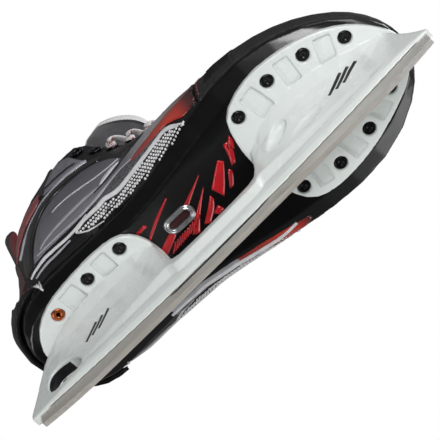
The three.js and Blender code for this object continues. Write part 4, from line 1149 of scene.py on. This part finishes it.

# %% [markdown]
# ## Tongue
#
# The tongue is thick felt with a charcoal cover in front and a black bound edge below its white
# rim. Its top half can be pulled forward on the real boot, but here the tongue is one fixed piece
# that belongs to no body. It is drawn as rows of points along its middle line, because its
# thin curved rim would come out ragged from a remesh of the CAD solid.

# %% Tongue
def felt_and_cover(top_middle, along, front):
    """White felt behind and at the rim; in front a charcoal cover with a black bound edge."""
    mat, shader = material("pressed felt with charcoal cover", "#F2F2F3", 0.9, Sheen_Weight=0.3)
    where = add(mat, "TexCoord").outputs["Object"]
    from_top = add(mat, "VectorMath", {0: where, 1: top_middle}, operation="SUBTRACT").outputs["Vector"]
    below_rim = add(mat, "VectorMath", {0: from_top, 1: along}, operation="DOT_PRODUCT").outputs["Value"]
    normal = add(mat, "NewGeometry").outputs["Normal"]
    facing = add(mat, "VectorMath", {0: normal, 1: front}, operation="DOT_PRODUCT").outputs["Value"]
    in_front = add(mat, "MapRange", {0: facing, 1: 0.05, 2: 0.15}).outputs[0]
    lower = add(mat, "MapRange", {0: below_rim, 1: -0.0064, 2: -0.0068}).outputs[0]
    covered = add(mat, "Math", {0: in_front, 1: lower}, operation="MULTIPLY").outputs[0]
    edge = add(mat, "MapRange", {0: below_rim, 1: -0.0092, 2: -0.0096}).outputs[0]
    fibres = noise(mat, 0.9, detail=6.0)
    white = ramp(mat, fibres, [(0.3, "#E4E4E6"), (0.7, "#FAFAFA")])
    cover = ramp(mat, noise(mat, 7), [(0.3, "#353438"), (0.7, "#4A494E")])
    bound = mixed_colour(mat, edge, to_linear("#0C0B0C"), cover)
    link(mat, mixed_colour(mat, covered, white, bound), shader, "Base Color")
    link(mat, ramp(mat, covered, [(0.0, 0.9), (1.0, 0.4)]), shader, "Roughness")
    bump(mat, shader, fibres, 0.15, 0.5)
    return mat


TONGUE_TOP = Vector((-15, 0, 238)) * MM
TONGUE_ALONG = Vector((0.447, 0, 0.894))
FELT = felt_and_cover(TONGUE_TOP, TONGUE_ALONG, Vector((0.894, 0, -0.447)))
# Middle line of the tongue's front face (x and z in mm), from the toe cap to its top edge.
TONGUE_LINE = [(46, 113), (22, 122.5), (-4, 137.5), (-23, 152.5), (-37, 168), (-42, 184.5), (-34, 203),
               (-24, 221), (-15, 238)]
TONGUE_THICKNESS = 6.6


# %% Tongue shape
def tongue_mesh(rows=90, across=28):
    """A padded sheet whose sides curve back, thinned and rounded towards its border."""
    line = curve(TONGUE_LINE, rows)
    ahead = np.gradient(line, axis=0)
    ahead /= np.linalg.norm(ahead, axis=1)[:, None]
    verts, ring = [], 2 * (across + 1)
    for i in range(rows):
        t = i / (rows - 1)
        from_end = min(i, rows - 1 - i) / 3
        end_round = math.sqrt(1 - (1 - min(1, from_end)) ** 2 * 0.9)
        fold = min(1, max(0, (t - 0.45) / 0.55))
        sag = 12 + 14 * fold * fold * (3 - 2 * fold)
        front = np.array([ahead[i][1], -ahead[i][0]])
        for back in (0, 1):
            for k in range(across + 1):
                a = (2 * k / across - 1) * (1 if back == 0 else -1)
                half = (21 + 4 * t) * (1 - 0.25 * max(0, t - 0.85) / 0.15 * a * a)
                edge_round = math.sqrt(max(0, 1 - (max(0, abs(a) - 0.86) / 0.14) ** 2 * 0.95))
                thick = TONGUE_THICKNESS * (1 - 0.35 * a * a)
                depth = thick / 2 + (back - 0.5) * thick * edge_round * end_round
                x, z = line[i] - front * (sag * a * a + depth)
                verts.append(Vector((x, a * half, z)) * MM)
    faces = ring_faces(rows, ring)
    for start in (0, (rows - 1) * ring):
        for k in range(across):
            a, b = start + k, start + k + 1
            c, d = start + ring - 2 - k, start + ring - 1 - k
            faces.append((a, d, c, b) if start == 0 else (a, b, c, d))
    return verts, faces


tongue = new_piece("felt_tongue", *tongue_mesh(), FELT, None, "tongue_felt")
with_modifiers(tongue, ("WELD", {"merge_threshold": 1e-6}), ("SMOOTH", {"factor": 0.5, "iterations": 2}))
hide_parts("tongue_lower", "tongue_upper")
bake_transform(tongue)

# %% [markdown]
# ## Tendon guard
#
# The guard behind the ankle is stiff moulded plastic, black at its tip, with dusty red sides.
# It rides on its own body, because it leans back when the foot points. A strap of the boot's
# leather is sewn over the joint, as one fixed piece that belongs to no body.

# %% Tendon guard
def guard_plastic():
    mat, shader = material("black tendon guard plastic", "#121113", 0.42, IOR=1.5)
    where = add(mat, "SeparateXYZ", {0: place_coordinates(mat)})
    reach = add(mat, "Math", {0: where.outputs["Y"]}, operation="ABSOLUTE").outputs[0]
    edge = add(mat, "MapRange", {0: reach, 1: 0.0125, 2: 0.0135}).outputs[0]
    low = add(mat, "MapRange", {0: where.outputs["Z"], 1: 0.226, 2: 0.216}).outputs[0]
    both = add(mat, "Math", {0: edge, 1: low}, operation="MULTIPLY").outputs[0]
    link(mat, ramp(mat, both, [(0.45, "#121113"), (0.55, "#7A1E24")]), shader, "Base Color")
    bump(mat, shader, noise(mat, 1.2), 0.1, 0.4)
    return mat


soft_copy("guard_shell", ["tendon_guard"], guard_plastic(), "guard_plastic", 0.8, 8, "tendon_guard")


# %% Guard strap
# Middle line of the strap: z and x in mm.
STRAP_LINE = [(160, -130.6), (166, -131.3), (171, -131.8), (175, -132.2), (179, -132.6), (184, -133.3),
              (190, -133.9)]


def guard_strap():
    """The sewn strap that joins the guard to the back of the boot, as one fixed piece."""
    across, half_width, thick, dish = 10, 14.5, 2.4, 0.03
    steps = range(across + 1)
    loop = [(0, k) for k in steps] + [(thick, k) for k in reversed(steps)]
    verts = []
    for z, x in STRAP_LINE:
        for depth, k in loop:
            y = half_width * (2 * k / across - 1)
            verts.append(Vector((x - thick / 2 + depth + dish * y * y, y, z)) * MM)
    faces = ring_faces(len(STRAP_LINE), len(loop))
    faces.append(list(range(len(loop)))[::-1])
    faces.append([len(verts) - len(loop) + k for k in range(len(loop))])
    strap = new_piece("guard_strap", verts, faces, LEATHER, None, "guard_plastic")
    with_modifiers(strap, ("SUBSURF", {"levels": 2}))
    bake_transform(strap)


guard_strap()
print("guard and strap")
